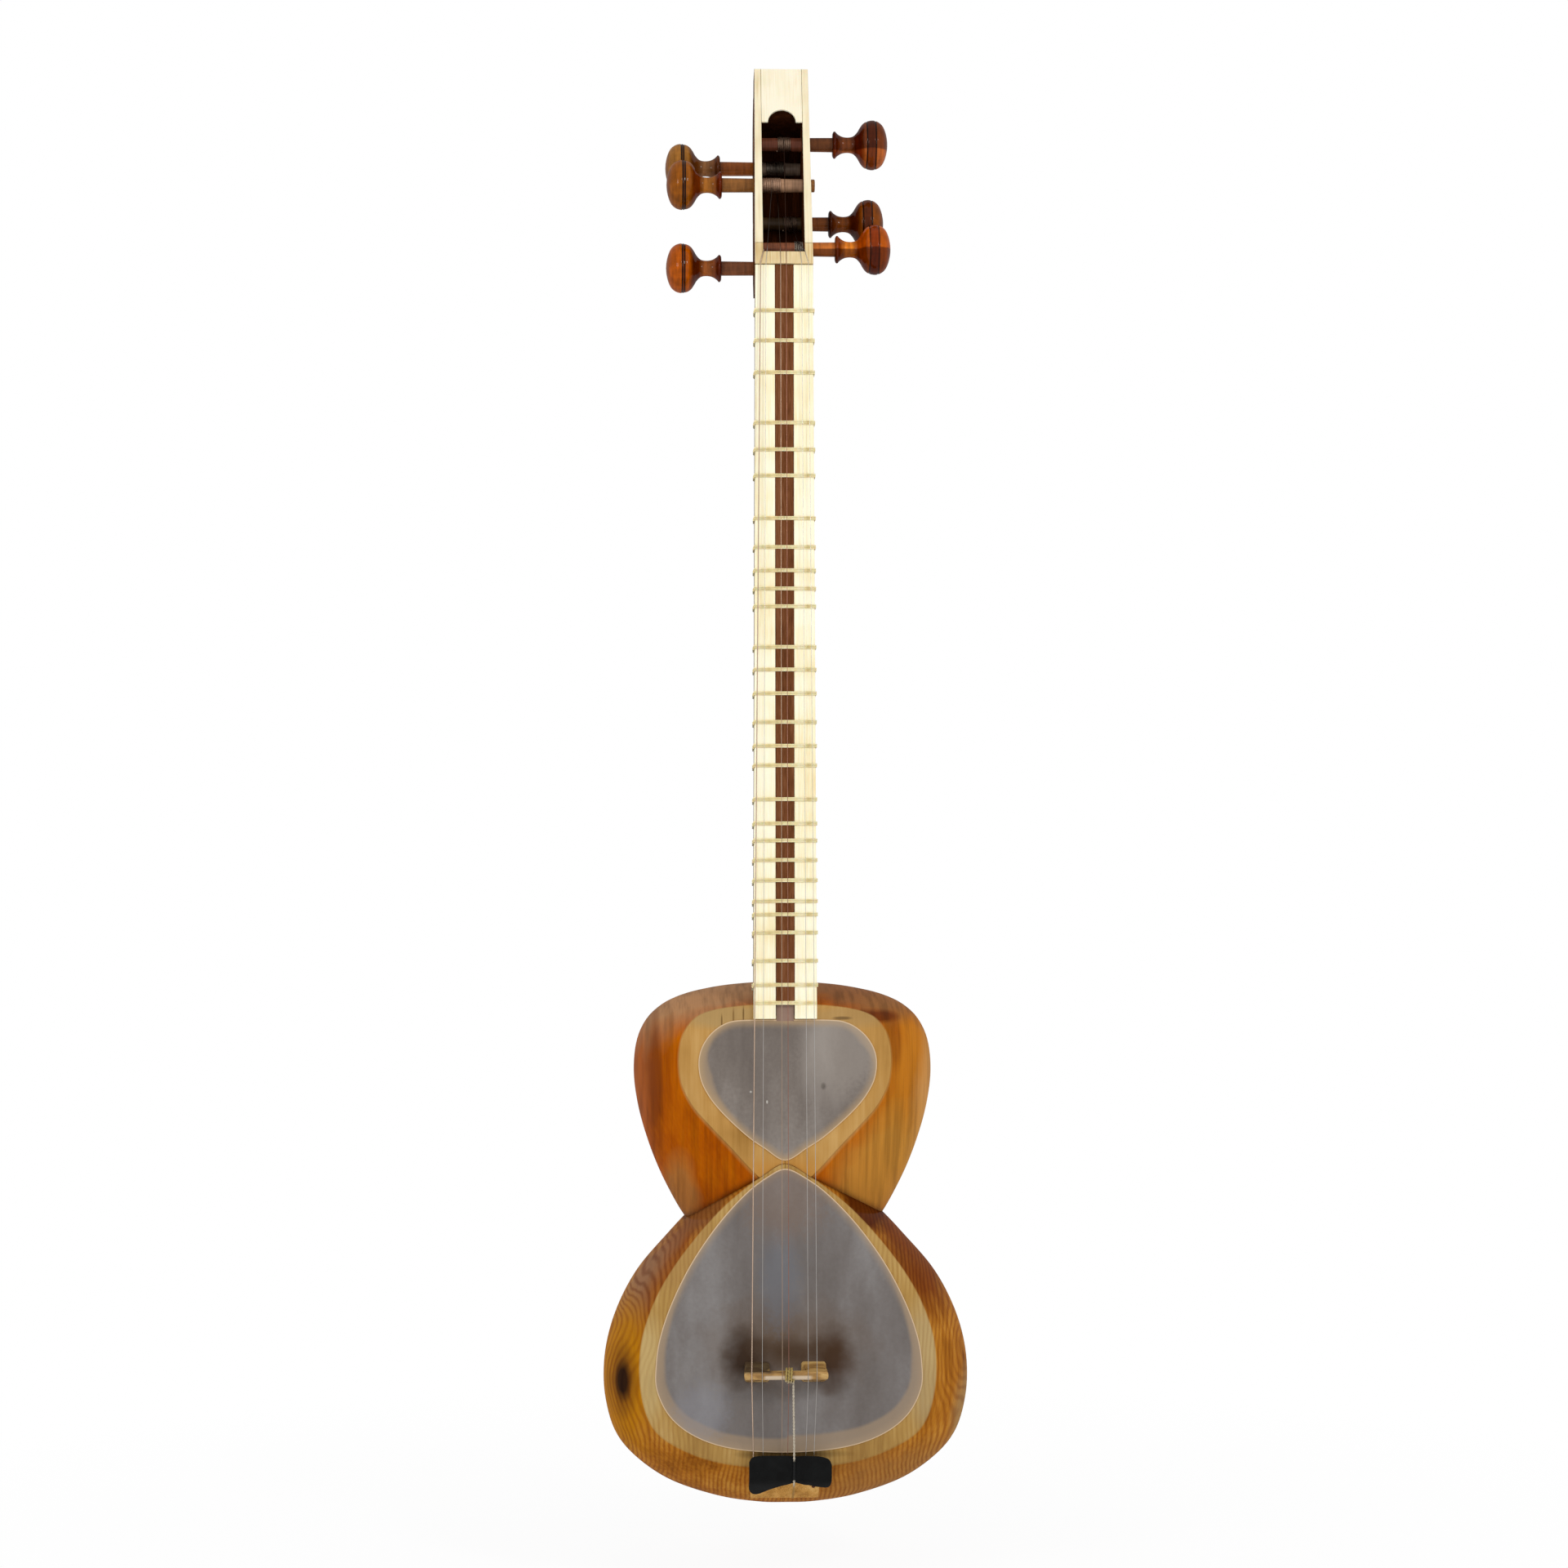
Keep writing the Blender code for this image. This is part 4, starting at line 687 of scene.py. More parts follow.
WIDEST_DEPTH = 60 * MM
UPPER_BACK, LOWER_BACK = 151 * MM, 168 * MM
UPPER_CENTRE, LOWER_CENTRE = -51 * MM - NECK_LENGTH, -208 * MM - NECK_LENGTH
RIM_ROUNDNESS = 108 * MM
UPPER_SHIFT, LOWER_SHIFT, LOWER_RIM_SKEW = 0.8 * MM, 2.8 * MM, 0.02
BOWL_STEPS = 90
CARVED_SHARP = 38
SCRAPED_EDGE = ((0.0, 0.99), (0.25 * MM, 0.997))
RING_DEPTHS = (1, 2.5, 4.5, 7, 10, 14, 19, 24, 30, 36, 42, 48, 54, 60)

# %% Rings of a bowl


def rim_share(depth, face):
    """How far the outline has grown from the rim to its widest at a depth."""
    def reach(y):
        return math.sqrt(RIM_ROUNDNESS**2 - (WIDEST_DEPTH - y) ** 2)
    return (reach(depth) - reach(face)) / (reach(WIDEST_DEPTH) - reach(face))


def bowl_mesh(rim_points, widest_points, face, back, centre, shift, skew):
    """A closed bowl, with its front edge scraped round. Shift and skew make its right side the fuller one."""
    rim = skewed(closed_outline(rim_points, BOWL_STEPS), skew)
    widest = closed_outline(widest_points, BOWL_STEPS) + (shift, 0)
    middle = np.array([0, centre])
    rings = [(face + down, middle + (rim - middle) * share) for down, share in SCRAPED_EDGE]
    for depth in RING_DEPTHS:
        share = rim_share(max(depth * MM, face), face)
        rings.append((max(depth * MM, face + 0.8 * MM), rim + (widest - rim) * share))
    for angle in range(6, 90, 6):
        turn = math.radians(angle)
        depth = WIDEST_DEPTH + (back - WIDEST_DEPTH) * math.sin(turn)
        rings.append((depth, middle + (widest - middle) * math.cos(turn)))
    bm = bmesh.new()
    rows = [[bm.verts.new((x, depth, z)) for x, z in loop] for depth, loop in rings]
    join_rows(bm, rows)
    bm.faces.new(rows[0])
    pole = bm.verts.new((0, back, centre))
    for here, after in zip(rows[-1], rows[-1][1:] + rows[-1][:1]):
        bm.faces.new((here, after, pole))
    return bm


# %% Sections of the neck
BOARD_THICKNESS = 3 * MM
NECK_TOP = BOARD_THICKNESS + SEAT_GAP
STRAIGHT_SIDE = 8 * MM
BODY_OVER_NECK = 19.5 * MM
HEAD_JOINT = 16 * MM
TENON_END = NECK_LENGTH - 2 * MM
CENTRE_STRIP_END = NECK_LENGTH - 9 * MM
NECK_WIDTHS, NECK_DEPTHS = (34.8, 38), (26, 30)


def taper(first, last, share):
    """A size in millimetres that changes evenly from one end to the other, in metres."""
    return (first + (last - first) * share) * MM


def neck_half_width(run):
    """Half the neck's width at a distance from the nut."""
    return taper(*NECK_WIDTHS, run / NECK_LENGTH) / 2


def neck_depth(run):
    """The neck's depth under the fingerboard at a distance from the nut."""
    return taper(*NECK_DEPTHS, run / NECK_LENGTH)


def neck_section(run, top, clearance=0.0, facets=20):
    """Points round the neck, from its front left corner round the back to the front right one."""
    half = neck_half_width(run) + clearance
    side = NECK_TOP + STRAIGHT_SIDE
    below = neck_depth(run) - STRAIGHT_SIDE + clearance
    points = [(-half, top)]
    for i in range(facets + 1):
        turn = math.pi * i / facets
        points.append((-half * math.cos(turn), side + below * math.sin(turn)))
    points.append((half, top))
    return points


def neck_loft(start, end, clearance=0.0, top=NECK_TOP, steps=12):
    """The neck's wood between two places along it."""
    bm = bmesh.new()
    loops = []
    for run in np.linspace(start, end, steps):
        loops.append([bm.verts.new((x, y, -run)) for x, y in neck_section(run, top, clearance)])
    join_rows(bm, loops)
    bm.faces.new(loops[0])
    bm.faces.new(loops[-1])
    return bm


# %% Joining, cutting and halving the bowls


def cut_with(obj, tool, operation):
    """Applies one Boolean and deletes the tool."""
    shown.link(tool)
    modifier = obj.modifiers.new(operation.lower(), "BOOLEAN")
    modifier.operation = operation
    modifier.object = tool
    modifier.solver = "EXACT"
    modifier.material_mode = "TRANSFER"
    bpy.context.view_layer.update()
    result = bpy.data.meshes.new_from_object(obj.evaluated_get(bpy.context.evaluated_depsgraph_get()))
    obj.modifiers.clear()
    obj.data = result
    bpy.data.objects.remove(tool, do_unlink=True)


def half_mesh(mesh, sign):
    """One side of a mesh, cut just beside the middle and closed there."""
    bm = bmesh.new()
    bm.from_mesh(mesh)
    geometry = bm.verts[:] + bm.edges[:] + bm.faces[:]
    cut = bmesh.ops.bisect_plane(
        bm, geom=geometry, dist=0.001 * MM, plane_co=(sign * 0.1 * MM, 0, 0), plane_no=(-sign, 0, 0),
        clear_outer=True,
    )
    bmesh.ops.holes_fill(bm, edges=[e for e in cut["geom_cut"] if isinstance(e, bmesh.types.BMEdge)])
    return bm


lower = bowl_mesh(LOWER_RIM, LOWER_WIDEST, 0.0, LOWER_BACK, LOWER_CENTRE, LOWER_SHIFT, LOWER_RIM_SKEW)
upper = bowl_mesh(UPPER_RIM, UPPER_WIDEST, UPPER_FACE, UPPER_BACK, UPPER_CENTRE, UPPER_SHIFT, 0.0)
socket_ends = NECK_LENGTH - 2 * BODY_OVER_NECK, TENON_END + 0.1 * MM
socket = neck_loft(*socket_ends, clearance=0.05 * MM, top=-BODY_OVER_NECK, steps=2)
body = mesh_piece("bowls", lower, MULBERRY_LOWER)
shown.link(body)
cut_with(body, mesh_piece("upper_bowl", upper, MULBERRY_UPPER), "UNION")
cut_with(body, mesh_piece("socket", socket, MULBERRY_UPPER, matrix=NECK), "DIFFERENCE")
for side, sign in SIGN.items():
    half = mesh_piece(f"carved_bowl_{side}", half_mesh(body.data, sign), MULBERRY_LOWER, CARVED_SHARP)
    half.data.materials.append(MULBERRY_UPPER)
    place_piece(half, "mulberry", f"bowl_{side}_half")
    print(half.name, "faces:", len(half.data.polygons))
bpy.data.objects.remove(body, do_unlink=True)

# %% [markdown]
# ## The skins
#
# A skin is flat, so rings of points from its cut edge inwards are enough, close together near the edge,
# where its look changes fastest. The cut edge rounds over a little, and the glued border is wider where the
# rim is.

# %% Rings of a skin
UPPER_SKIN = (
    (0, -84.8), (12.6, -77.6), (22.8, -70.7), (34.8, -60.2), (43.2, -51.4), (48.4, -44.2), (52.1, -36.5),
    (53.5, -28), (52.8, -20.6), (49.8, -13.6), (44.4, -7.2), (36.8, -2.4), (27, -0.5), (0, -0.3),
)
LOWER_SKIN = (
    (0, -259.6), (32, -257.2), (55, -250), (71, -238), (79.4, -221.6), (79.8, -206), (77.5, -191),
    (71.5, -173), (62, -153), (51.5, -136), (38.5, -119), (24, -104), (12, -95), (0, -89.5),
)
SKIN_SKEW = 0.03
SKIN_BACK, SKIN_FRONT, BORDER_FADE = -TOUCH, -0.8 * MM, 4.0
SKIN_SHARES = (
    1, 0.996, 0.99, 0.98, 0.965, 0.95, 0.93, 0.91, 0.89, 0.87, 0.85, 0.82, 0.79, 0.75, 0.7, 0.6, 0.45, 0.3,
)


def edge_distance(points, loop):
    """Distance of each point from a closed outline."""
    run = np.roll(loop, -1, axis=0) - loop
    away = points[:, None] - loop
    share = np.clip((away * run).sum(-1) / (run**2).sum(-1), 0, 1)
    return np.linalg.norm(away - share[..., None] * run, axis=-1).min(axis=1)


def membrane(name, loop, middle, face, border, finish, tongue=None):
    """A skin with its distance from the edge, and how much it lies on the rim, kept at each point."""
    bm = bmesh.new()
    edge_layer = bm.verts.layers.float.new("edge_mm")
    glued_layer = bm.verts.layers.float.new("glued")

    def row(points, depth):
        made = []
        for (x, z), edge in zip(points, edge_distance(np.array(points), loop) / MM):
            vert = bm.verts.new((x, depth, z))
            vert[edge_layer] = edge
            vert[glued_layer] = min(max((border(x, z) - edge) / BORDER_FADE + 0.5, 0), 1)
            made.append(vert)
        return made

    rows = [row(loop, face + SKIN_BACK), row(loop, face + SKIN_FRONT + 0.2 * MM)]
    for share in SKIN_SHARES[1:]:
        rows.append(row(middle + (loop - middle) * share, face + SKIN_FRONT))
    join_rows(bm, rows)
    bm.faces.new(rows[0])
    bm.faces.new(rows[-1])
    if tongue:
        half, low, high = tongue
        corners = [(half, low), (half, high), (-half, high), (-half, low)]
        back = [bm.verts.new((x, face + SKIN_BACK, z)) for x, z in corners]
        front = [bm.verts.new((x, face + SKIN_FRONT - 0.01 * MM, z)) for x, z in corners]
        for vert in back + front:
            vert[edge_layer] = 9
        sides = [(back[i], back[(i + 1) % 4], front[(i + 1) % 4], front[i]) for i in range(4)]
        for corner_verts in [*sides, front, back]:
            bm.faces.new(corner_verts).material_index = 1
    return mesh_piece(name, bm, finish, sharp=30)


def upper_border(x, z):
    """Width of the glued border in millimetres: a crescent on the left, and a patch at the upper right."""
    height = z + NECK_LENGTH
    if x < 0:
        return 1.0 + 6.5 * max(0, 1 - abs(height + 34 * MM) / (34 * MM))
    return 1.0 + 5.0 * max(0, 1 - abs(height + 14 * MM) / (16 * MM))


def lower_border(x, z):
    """Width of the glued border in millimetres: wide along the bottom and the lower sides."""
    height = z + NECK_LENGTH
    low = min(max((-height - 150 * MM) / (95 * MM), 0), 1)
    return 1.2 + (9.0 if x > 0 else 7.5) * low


loop = skewed(closed_outline(UPPER_SKIN, BOWL_STEPS), SKIN_SKEW)
loop[:, 1] = np.minimum(loop[:, 1], -NECK_LENGTH - SEAT_GAP)
tongue = (5.2 * MM, -NECK_LENGTH - 1.2 * MM, -CENTRE_STRIP_END - SEAT_GAP)
middle = np.array([0, -36 * MM - NECK_LENGTH])
skin = membrane("stretched_skin_upper", loop, middle, UPPER_FACE, upper_border, SKIN_UPPER, tongue)
skin.data.materials.append(SKIN_TONGUE)
place_piece(skin, "skin", "skin_upper")
middle = np.array([0, -195 * MM - NECK_LENGTH])
loop = skewed(closed_outline(LOWER_SKIN, BOWL_STEPS), SKIN_SKEW)
skin = membrane("stretched_skin_lower", loop, middle, 0.0, lower_border, SKIN_LOWER)
place_piece(skin, "skin", "skin_lower")

# %% [markdown]
# ## Neck and fingerboard
#
# The neck is one straight piece with a D section. Its fingerboard is two long strips of bone with a walnut
# strip between them. They are simple solids, so what makes them real is the small rounding of each edge and
# the thin dark glue line between the strips.

# %% Neck
neck = mesh_piece("walnut_neck", neck_loft(HEAD_JOINT + SEAT_GAP, TENON_END), WALNUT, 40, NECK)
place_piece(neck, "walnut", "neck")

# %% Strips of the fingerboard
SEAM = 5.5 * MM


def board_strip(name, node, slot, finish, inner, outer, end):
    """One strip of the fingerboard, between two edges given at a distance from the nut."""
    corners = ((inner(0), 0), (outer(0), 0), (outer(end), -end), (inner(end), -end))
    outline = [Vector((x, 0, z)) for x, z in corners]
    strip = mesh_piece(name, prism(outline, Vector((0, BOARD_THICKNESS + 0.25 * MM, 0))), finish, matrix=NECK)
    return place_piece(soften(strip, 0.35 * MM), slot, node)


for side, sign in SIGN.items():
    board_strip(
        f"bone_strip_{side}", f"fingerboard_bone_{side}", "bone", BONE_BOARD,
        lambda run: sign * (SEAM + GLUE_LINE), lambda run: sign * neck_half_width(run), NECK_LENGTH,
    )
board_strip(
    "walnut_strip", "fingerboard_centre_strip", "walnut", WALNUT_STRIP, lambda run: -SEAM, lambda run: SEAM,
    CENTRE_STRIP_END,
)

# %% [markdown]
# ## Frets
#
# A tied fret is one length of gut wound three times round the neck and knotted at the edge on the player's
# side, so that it can be slid to tune its note. A curve with a round bevel is the natural way to make it:
# the path steps down the neck as it goes round, and a second short path ties the knot.

# %% Tied gut frets
GUT_DIAMETER = 0.74 * MM
FRET_PITCH = 0.78 * MM
FRET_TURNS = 3
GUT_LIFT = 0.19 * MM


def fret_path(run):
    """Turns of gut pressed against the fingerboard and the back of the neck."""
    away = GUT_LIFT + GUT_DIAMETER / 2
    section = neck_section(run, -away, away, facets=16)
    count = len(section)
    points = []
    for i in range(FRET_TURNS * count + 1):
        x, y = section[i % count]
        points.append((x, y, FRET_PITCH * (i / count - FRET_TURNS / 2)))
    return points


def knot_path(run):
    """A small double knot at the neck's left edge, just under the turns."""
    x = -neck_half_width(run) - 0.35 * MM
    points = []
    for i in range(33):
        turn = 2 * math.pi * i / 16
        wave = 0.6 * MM * math.sin(turn * 0.5 + 0.6)
        out = 0.25 * MM * (1 - math.cos(turn))
        points.append((x - out, 1.2 * MM + 0.7 * MM * math.sin(turn), -2.1 * MM + wave))
    return points


for number, cents in enumerate(FRET_CENTS, 1):
    run = fret_run(cents)
    node = f"fret_{number:02d}"
    spot = NECK @ Matrix.Translation((0, 0, -run))
    if run < NECK_LENGTH - BODY_OVER_NECK:
        gut = strand(f"gut_{node}", [fret_path(run), knot_path(run)], GUT_DIAMETER, GUT, spot, GUT_KNOT)
        place_piece(gut, "gut", node, body=node)
    else:
        half = neck_half_width(run) - 0.2 * MM
        lines = [[(-half, -0.35 * MM, z), (half, -0.35 * MM, z)] for z in (-FRET_PITCH, 0, FRET_PITCH)]
        place_piece(strand(f"gut_{node}", lines, GUT_DIAMETER, GUT, spot), "gut", node)
print("frets:", len(FRET_CENTS))

# %% [markdown]
# ## The head
#
# The head is a walnut box, open in front and right through for the pegs. Its side view is drawn once,
# widened into a solid, rounded along the back, and then cut: a slot for the strings and a tapered hole for
# each peg. Thin bone plates cover what is left of its front.

# %% Sizes of the head and pegs
# The knob's side, then in millimetres the height and depth in the head, how far the flange and the string
# are from its middle, and how far the shaft's tip stands out of it.
PEG_SIZES = (
    ("right", 90, 14, 31.6, 1.5, -0.5),
    ("left", 84.7, 35, 37.2, -2.5, -0.5),
    ("left", 60.4, 12, 36.8, -6.0, 2.4),
    ("right", 46.5, 35, 29.4, 5.5, -0.5),
    ("right", 16.7, 12, 31.6, 9.3, -0.5),
    ("left", 15.6, 35, 37.0, -9.3, -0.5),
)
PEGS = {f"peg_{i}": (side, *[n * MM for n in sizes]) for i, (side, *sizes) in enumerate(PEG_SIZES, 1)}
HEAD_LENGTH, HEAD_DEPTH = 136 * MM, 46 * MM
SLOT_START, SLOT_END, SLOT_DEPTH, SLOT_HALF = 8.5 * MM, 107 * MM, 41 * MM, 12.6 * MM
VENEER = 1.3 * MM
HOLE_ROOM, HOLE_REACH = 0.08 * MM, 25 * MM
HEAD_WIDTHS, SHAFT_RADII = (35.2, 32.8), (3.9, 4.4)


def head_half_width(run):
    """Half the head's width at a distance from the nut edge."""
    return taper(*HEAD_WIDTHS, run / HEAD_LENGTH) / 2


def tip_place(tip):
    """Where a peg's shaft ends, past the middle of the head on the side away from its knob."""
    return -(HEAD_WIDTHS[0] / 2 * MM + tip)


def shaft_radius(reach, flange, tip):
    """Radius of the tapered shaft at a place along it, with its knob's side positive."""
    return taper(*SHAFT_RADII, (reach - tip_place(tip)) / (flange - tip_place(tip)))


def peg_frame(side, run, depth):
    """The matrix of a peg: Z along its axis towards the knob, from the middle of the head."""
    turn = SIGN[side] * math.pi / 2
    return HEAD @ Matrix.Translation((0, depth, run)) @ Matrix.Rotation(turn, 4, "Y")


# %% The walnut box of the head
NECK_TO_HEAD = HEAD.inverted() @ NECK
joint = HEAD_JOINT - SEAT_GAP
under_board = NECK_TO_HEAD @ Vector((0, NECK_TOP, -joint))
board_end = NECK_TO_HEAD @ Vector((0, NECK_TOP, SEAT_GAP))
neck_back = NECK_TO_HEAD @ Vector((0, NECK_TOP + neck_depth(joint), -joint))
front = [(under_board.y, under_board.z), (board_end.y, board_end.z), (0, 0.6 * MM), (0, HEAD_LENGTH - 2 * MM)]
crown = catmull([(2, 136), (20.7, 136), (31.3, 132), (39.6, 122), (44.6, 106), (46, 86)], 22) * MM
chin = catmull([(46, 30), (46, 12), (44.2, 3), (39.6, -4)], 12) * MM
outline = [Vector((1, y, z)) for y, z in [*front, *crown, *chin, (neck_back.y, neck_back.z)]]
bm = prism(outline, Vector((-2, 0, 0)))
for vert in bm.verts:
    vert.co.x *= head_half_width(max(vert.co.z, 0))
lengthwise = [e for e in bm.edges if e.verts[0].co.x * e.verts[1].co.x > 0]
back_edges = [e for e in lengthwise if min(v.co.y for v in e.verts) > HEAD_DEPTH * 0.4]
bmesh.ops.bevel(bm, geom=back_edges, offset=8 * MM, segments=7, profile=0.5, affect="EDGES")
pegbox = mesh_piece("walnut_pegbox", bm, WALNUT, CARVED_SHARP, HEAD)
shown.link(pegbox)
bm = bmesh.new()
bmesh.ops.create_cube(bm, size=1)
bmesh.ops.scale(bm, vec=(2 * SLOT_HALF, 2 * SLOT_DEPTH, SLOT_END - SLOT_START), verts=bm.verts[:])
bmesh.ops.translate(bm, vec=(0, 0, (SLOT_END + SLOT_START) / 2), verts=bm.verts[:])
corners = [e for e in bm.edges if min(v.co.y for v in e.verts) > 0]
bmesh.ops.bevel(bm, geom=corners, offset=3 * MM, segments=3, profile=0.5, affect="EDGES")
cut_with(pegbox, mesh_piece("slot", bm, SLOT_SHADED_WOOD, CARVED_SHARP, HEAD), "DIFFERENCE")
for name, (side, run, depth, flange, across, tip) in PEGS.items():
    bm = bmesh.new()
    narrow, wide = [shaft_radius(end, flange, tip) + HOLE_ROOM for end in (-HOLE_REACH, HOLE_REACH)]
    bmesh.ops.create_cone(bm, cap_ends=True, segments=40, depth=2 * HOLE_REACH, radius1=narrow, radius2=wide)
    hole = mesh_piece(f"{name}_hole", bm, SLOT_SHADED_WOOD, CARVED_SHARP, peg_frame(side, run, depth))
    cut_with(pegbox, hole, "DIFFERENCE")
shown.unlink(pegbox)
pegbox.data.set_sharp_from_angle(angle=math.radians(CARVED_SHARP))
place_piece(pegbox, "walnut", "pegbox")
print("pegbox faces:", len(pegbox.data.polygons))

# %% Bone plates of the head and the nut


def head_plate(name, node, points, finish):
    """A flat piece of bone on the head's front, from an outline across and along the head."""
    front = Vector((0, TOUCH - SEAT_GAP - VENEER, 0))
    bm = prism([Vector((x, -TOUCH, z)) for x, z in points], front)
    return place_piece(soften(mesh_piece(name, bm, finish, matrix=HEAD), 0.3 * MM), "bone", node)


ear, base, top = 14 * MM, GLUE_LINE, SLOT_START - SEAT_GAP
nut_half, ear_half = head_half_width(0), head_half_width(ear)
right_half = [(nut_half, base), (ear_half, ear), (SLOT_HALF, ear), (SLOT_HALF, top)]
nut_outline = [(-nut_half, base), *right_half, (-SLOT_HALF, top), (-SLOT_HALF, ear), (-ear_half, ear)]
head_plate("bone_nut", "nut", nut_outline, BONE_NUT)
start, end = ear + 0.2 * MM, HEAD_LENGTH - 2 * MM
for side, sign in SIGN.items():
    head_plate(f"bone_edge_{side}", f"pegbox_edge_{side}", [
        (sign * SLOT_HALF, start), (sign * head_half_width(start), start), (sign * head_half_width(end), end),
        (sign * SLOT_HALF, end),
    ], BONE_HEAD)
ARCH_RADIUS, ARCH_FOOT = 8.5, 97
arch = []
for i in range(25):
    turn = math.pi * i / 24
    arch.append((ARCH_RADIUS * MM * math.cos(turn), (ARCH_FOOT + ARCH_RADIUS * math.sin(turn)) * MM))
plate_half = SLOT_HALF - GLUE_LINE
head_plate("bone_front_plate", "pegbox_front_plate", [
    (plate_half, ARCH_FOOT * MM), *arch, (-plate_half, ARCH_FOOT * MM), (-plate_half, end),
    (plate_half, end),
], BONE_PLATE)

# %% [markdown]
# ## Pegs
#
# A peg is turned from a tight fruit wood: a tapered shaft, a flared flange, a thin neck and a round knob
# with rings cut at its widest. Spinning one profile about the axis does what the lathe does. The maker's
# lacquer is worn thin on the neck and the knob and stays dark in the hollows, and hands and old repairs
# make every peg differ. A colour ramp along the axis holds each peg's tones. Two pegs are darker on one side
# of a plane, which is painted shade, and inside the slot the shafts take tones that are partly painted shade.

# %% Turned pegs
KNOB = (
    (0.0, 7.0), (0.6, 8.1), (1.5, 8.3), (2.3, 7.4), (3.6, 6.3), (6.0, 5.1), (9.4, 4.7), (12.6, 5.4),
    (15.0, 7.7), (16.7, 10.5), (18.4, 12.8), (20.6, 14.3), (24.0, 15.1), (27.0, 14.6), (29.5, 13.1),
    (31.2, 11.0), (32.6, 7.6), (33.5, 3.6), (33.8, 0.0),
)
PEG_TONES = {
    "peg_1": ("#a2653c", "#682606", "#a85e30", "#6a2004", "#6c2e0c", "#a45420", "#220a02", "#8e4820"),
    "peg_2": ("#965222", "#542a12", "#845832", "#582c0a", "#502e0c", "#946024", "#1e0c02", "#6c3e10"),
    "peg_3": ("#8b5a2c", "#5a1c00", "#9e6020", "#5c2202", "#522808", "#884a0a", "#1c0a02", "#643008"),
    "peg_4": ("#723c14", "#3e1602", "#72390c", "#4a1600", "#502004", "#763a04", "#200800", "#562604"),
    "peg_5": ("#c67030", "#783006", "#d6781e", "#963a00", "#7a2c02", "#a84c02", "#481800", "#984808"),
    "peg_6": ("#824e30", "#521b06", "#904e20", "#4a1600", "#6a2c06", "#a44c02", "#220a00", "#703608"),
}
# Tones of each peg inside the head's slot: partly painted shade of the slot, partly the look of the turns of
# string there.
IN_SLOT = {
    "peg_1": "#6a3a2a", "peg_2": "#8c7c6c", "peg_3": "#a98468", "peg_4": "#4a3c28", "peg_5": "#704434",
    "peg_6": "#5a2c12",
}
WINDING_TURNS = {"peg_1": 9, "peg_2": 13, "peg_3": 12, "peg_4": 9, "peg_5": 6, "peg_6": 5}
# Painted shade: a plane's height over the axis, and which side of it is darker.
SHADED_SIDE = {"peg_1": (-4 * MM, 1), "peg_5": (0.0, -1)}
GROOVES = {"left": (22.4, 23.9), "right": (20.8, 26.2)}
GROOVE_DEPTH, GROOVE_HALF = 0.35, 0.25
RAMP_START, RAMP_END = -6, 34


def lacquered(name, side, flange):
    """The finish of a peg: its tones from the shaft to the knob's end, under turning lines and lacquer."""
    made, tree, place = new_finish(f"{name}_lacquer")
    height = put(tree, "SeparateXYZ", {"Vector": place}).outputs["Z"]
    shaft, rim, neck, ball, band, cap, line, end = PEG_TONES[name]
    first, last = GROOVES[side]
    tones = (
        (-0.8, shaft), (0.2, rim), (2.6, rim), (7.0, neck), (10.5, neck), (13.8, ball), (17.2, ball),
        (20.0, cap), (first - 0.6, cap), (first - 0.25, line), (first + 0.25, line), (first + 0.6, band),
        (last - 0.6, band), (last - 0.25, line), (last + 0.25, line), (last + 0.6, cap), (31.0, cap),
        (33.0, end),
    )
    start, stop = flange + RAMP_START * MM, flange + RAMP_END * MM
    run = put(tree, "MapRange", {"Value": height, "From Min": start, "From Max": stop})
    stops = [((along - RAMP_START) / (RAMP_END - RAMP_START), code) for along, code in tones]
    colour = put(tree, "ValToRGB", {"Fac": run}, stops=stops)
    figure = grain(tree, place, 5, 3.0, (1, 1, 0.15))
    # Painted shade: one side of a plane through the axis is darkened.
    if name in SHADED_SIDE:
        plane, way = SHADED_SIDE[name]
        upwards = (-math.cos(HEAD_TILT), -math.sin(HEAD_TILT), 0)
        above = put(tree, "VectorMath", {0: place, 1: upwards}, operation="DOT_PRODUCT").outputs["Value"]
        above = put(tree, "Math", {0: figure, 1: 1.2 * MM, 2: above}, operation="MULTIPLY_ADD")
        light, dark = [plane + (0.6 + soft * way) * MM for soft in (-0.4, 0.4)]
        colour = over(tree, colour, "#a2998e", [(above, light, dark)], blend="MULTIPLY")
    # Partly painted shade: the stretch of the peg inside the slot takes the IN_SLOT tones.
    inside = put(tree, "Math", {0: height}, operation="ABSOLUTE")
    colour = over(tree, colour, IN_SLOT[name], [(inside, SLOT_HALF, SLOT_HALF - 0.2 * MM)], 0.85)
    lines = grain(tree, place, 1.3, 3.0, (0.12, 0.12, 1))
    both = put(tree, "Math", {0: lines, 1: figure}, operation="ADD")
    colour = scaled(tree, colour, both, 0.68, 1.32, 0.6, 1.35)
    close_finish(tree, colour, 0.45, 0.0, (lines, 0.06, 0.1), {"Coat Weight": 0.2, "Coat Roughness": 0.1})
    return made


def peg_profile(side, flange, tip):
    """Points along the axis with radii, from the tip of the shaft to the end of the knob."""
    end = tip_place(tip)
    thin = SHAFT_RADII[0]
    points = [(end, 0), (end, (thin - 0.4) * MM), (end + 0.4 * MM, thin * MM)]
    points += [(place, shaft_radius(place, flange, tip)) for place in np.linspace(end + 2 * MM, flange, 12)]
    for along, radius in catmull(KNOB, 110):
        away = [(along - groove) / GROOVE_HALF for groove in GROOVES[side]]
        cut = sum(GROOVE_DEPTH * math.exp(-(share**2)) for share in away)
        points.append((flange + along * MM, max(radius - cut, 0) * MM))
    return points


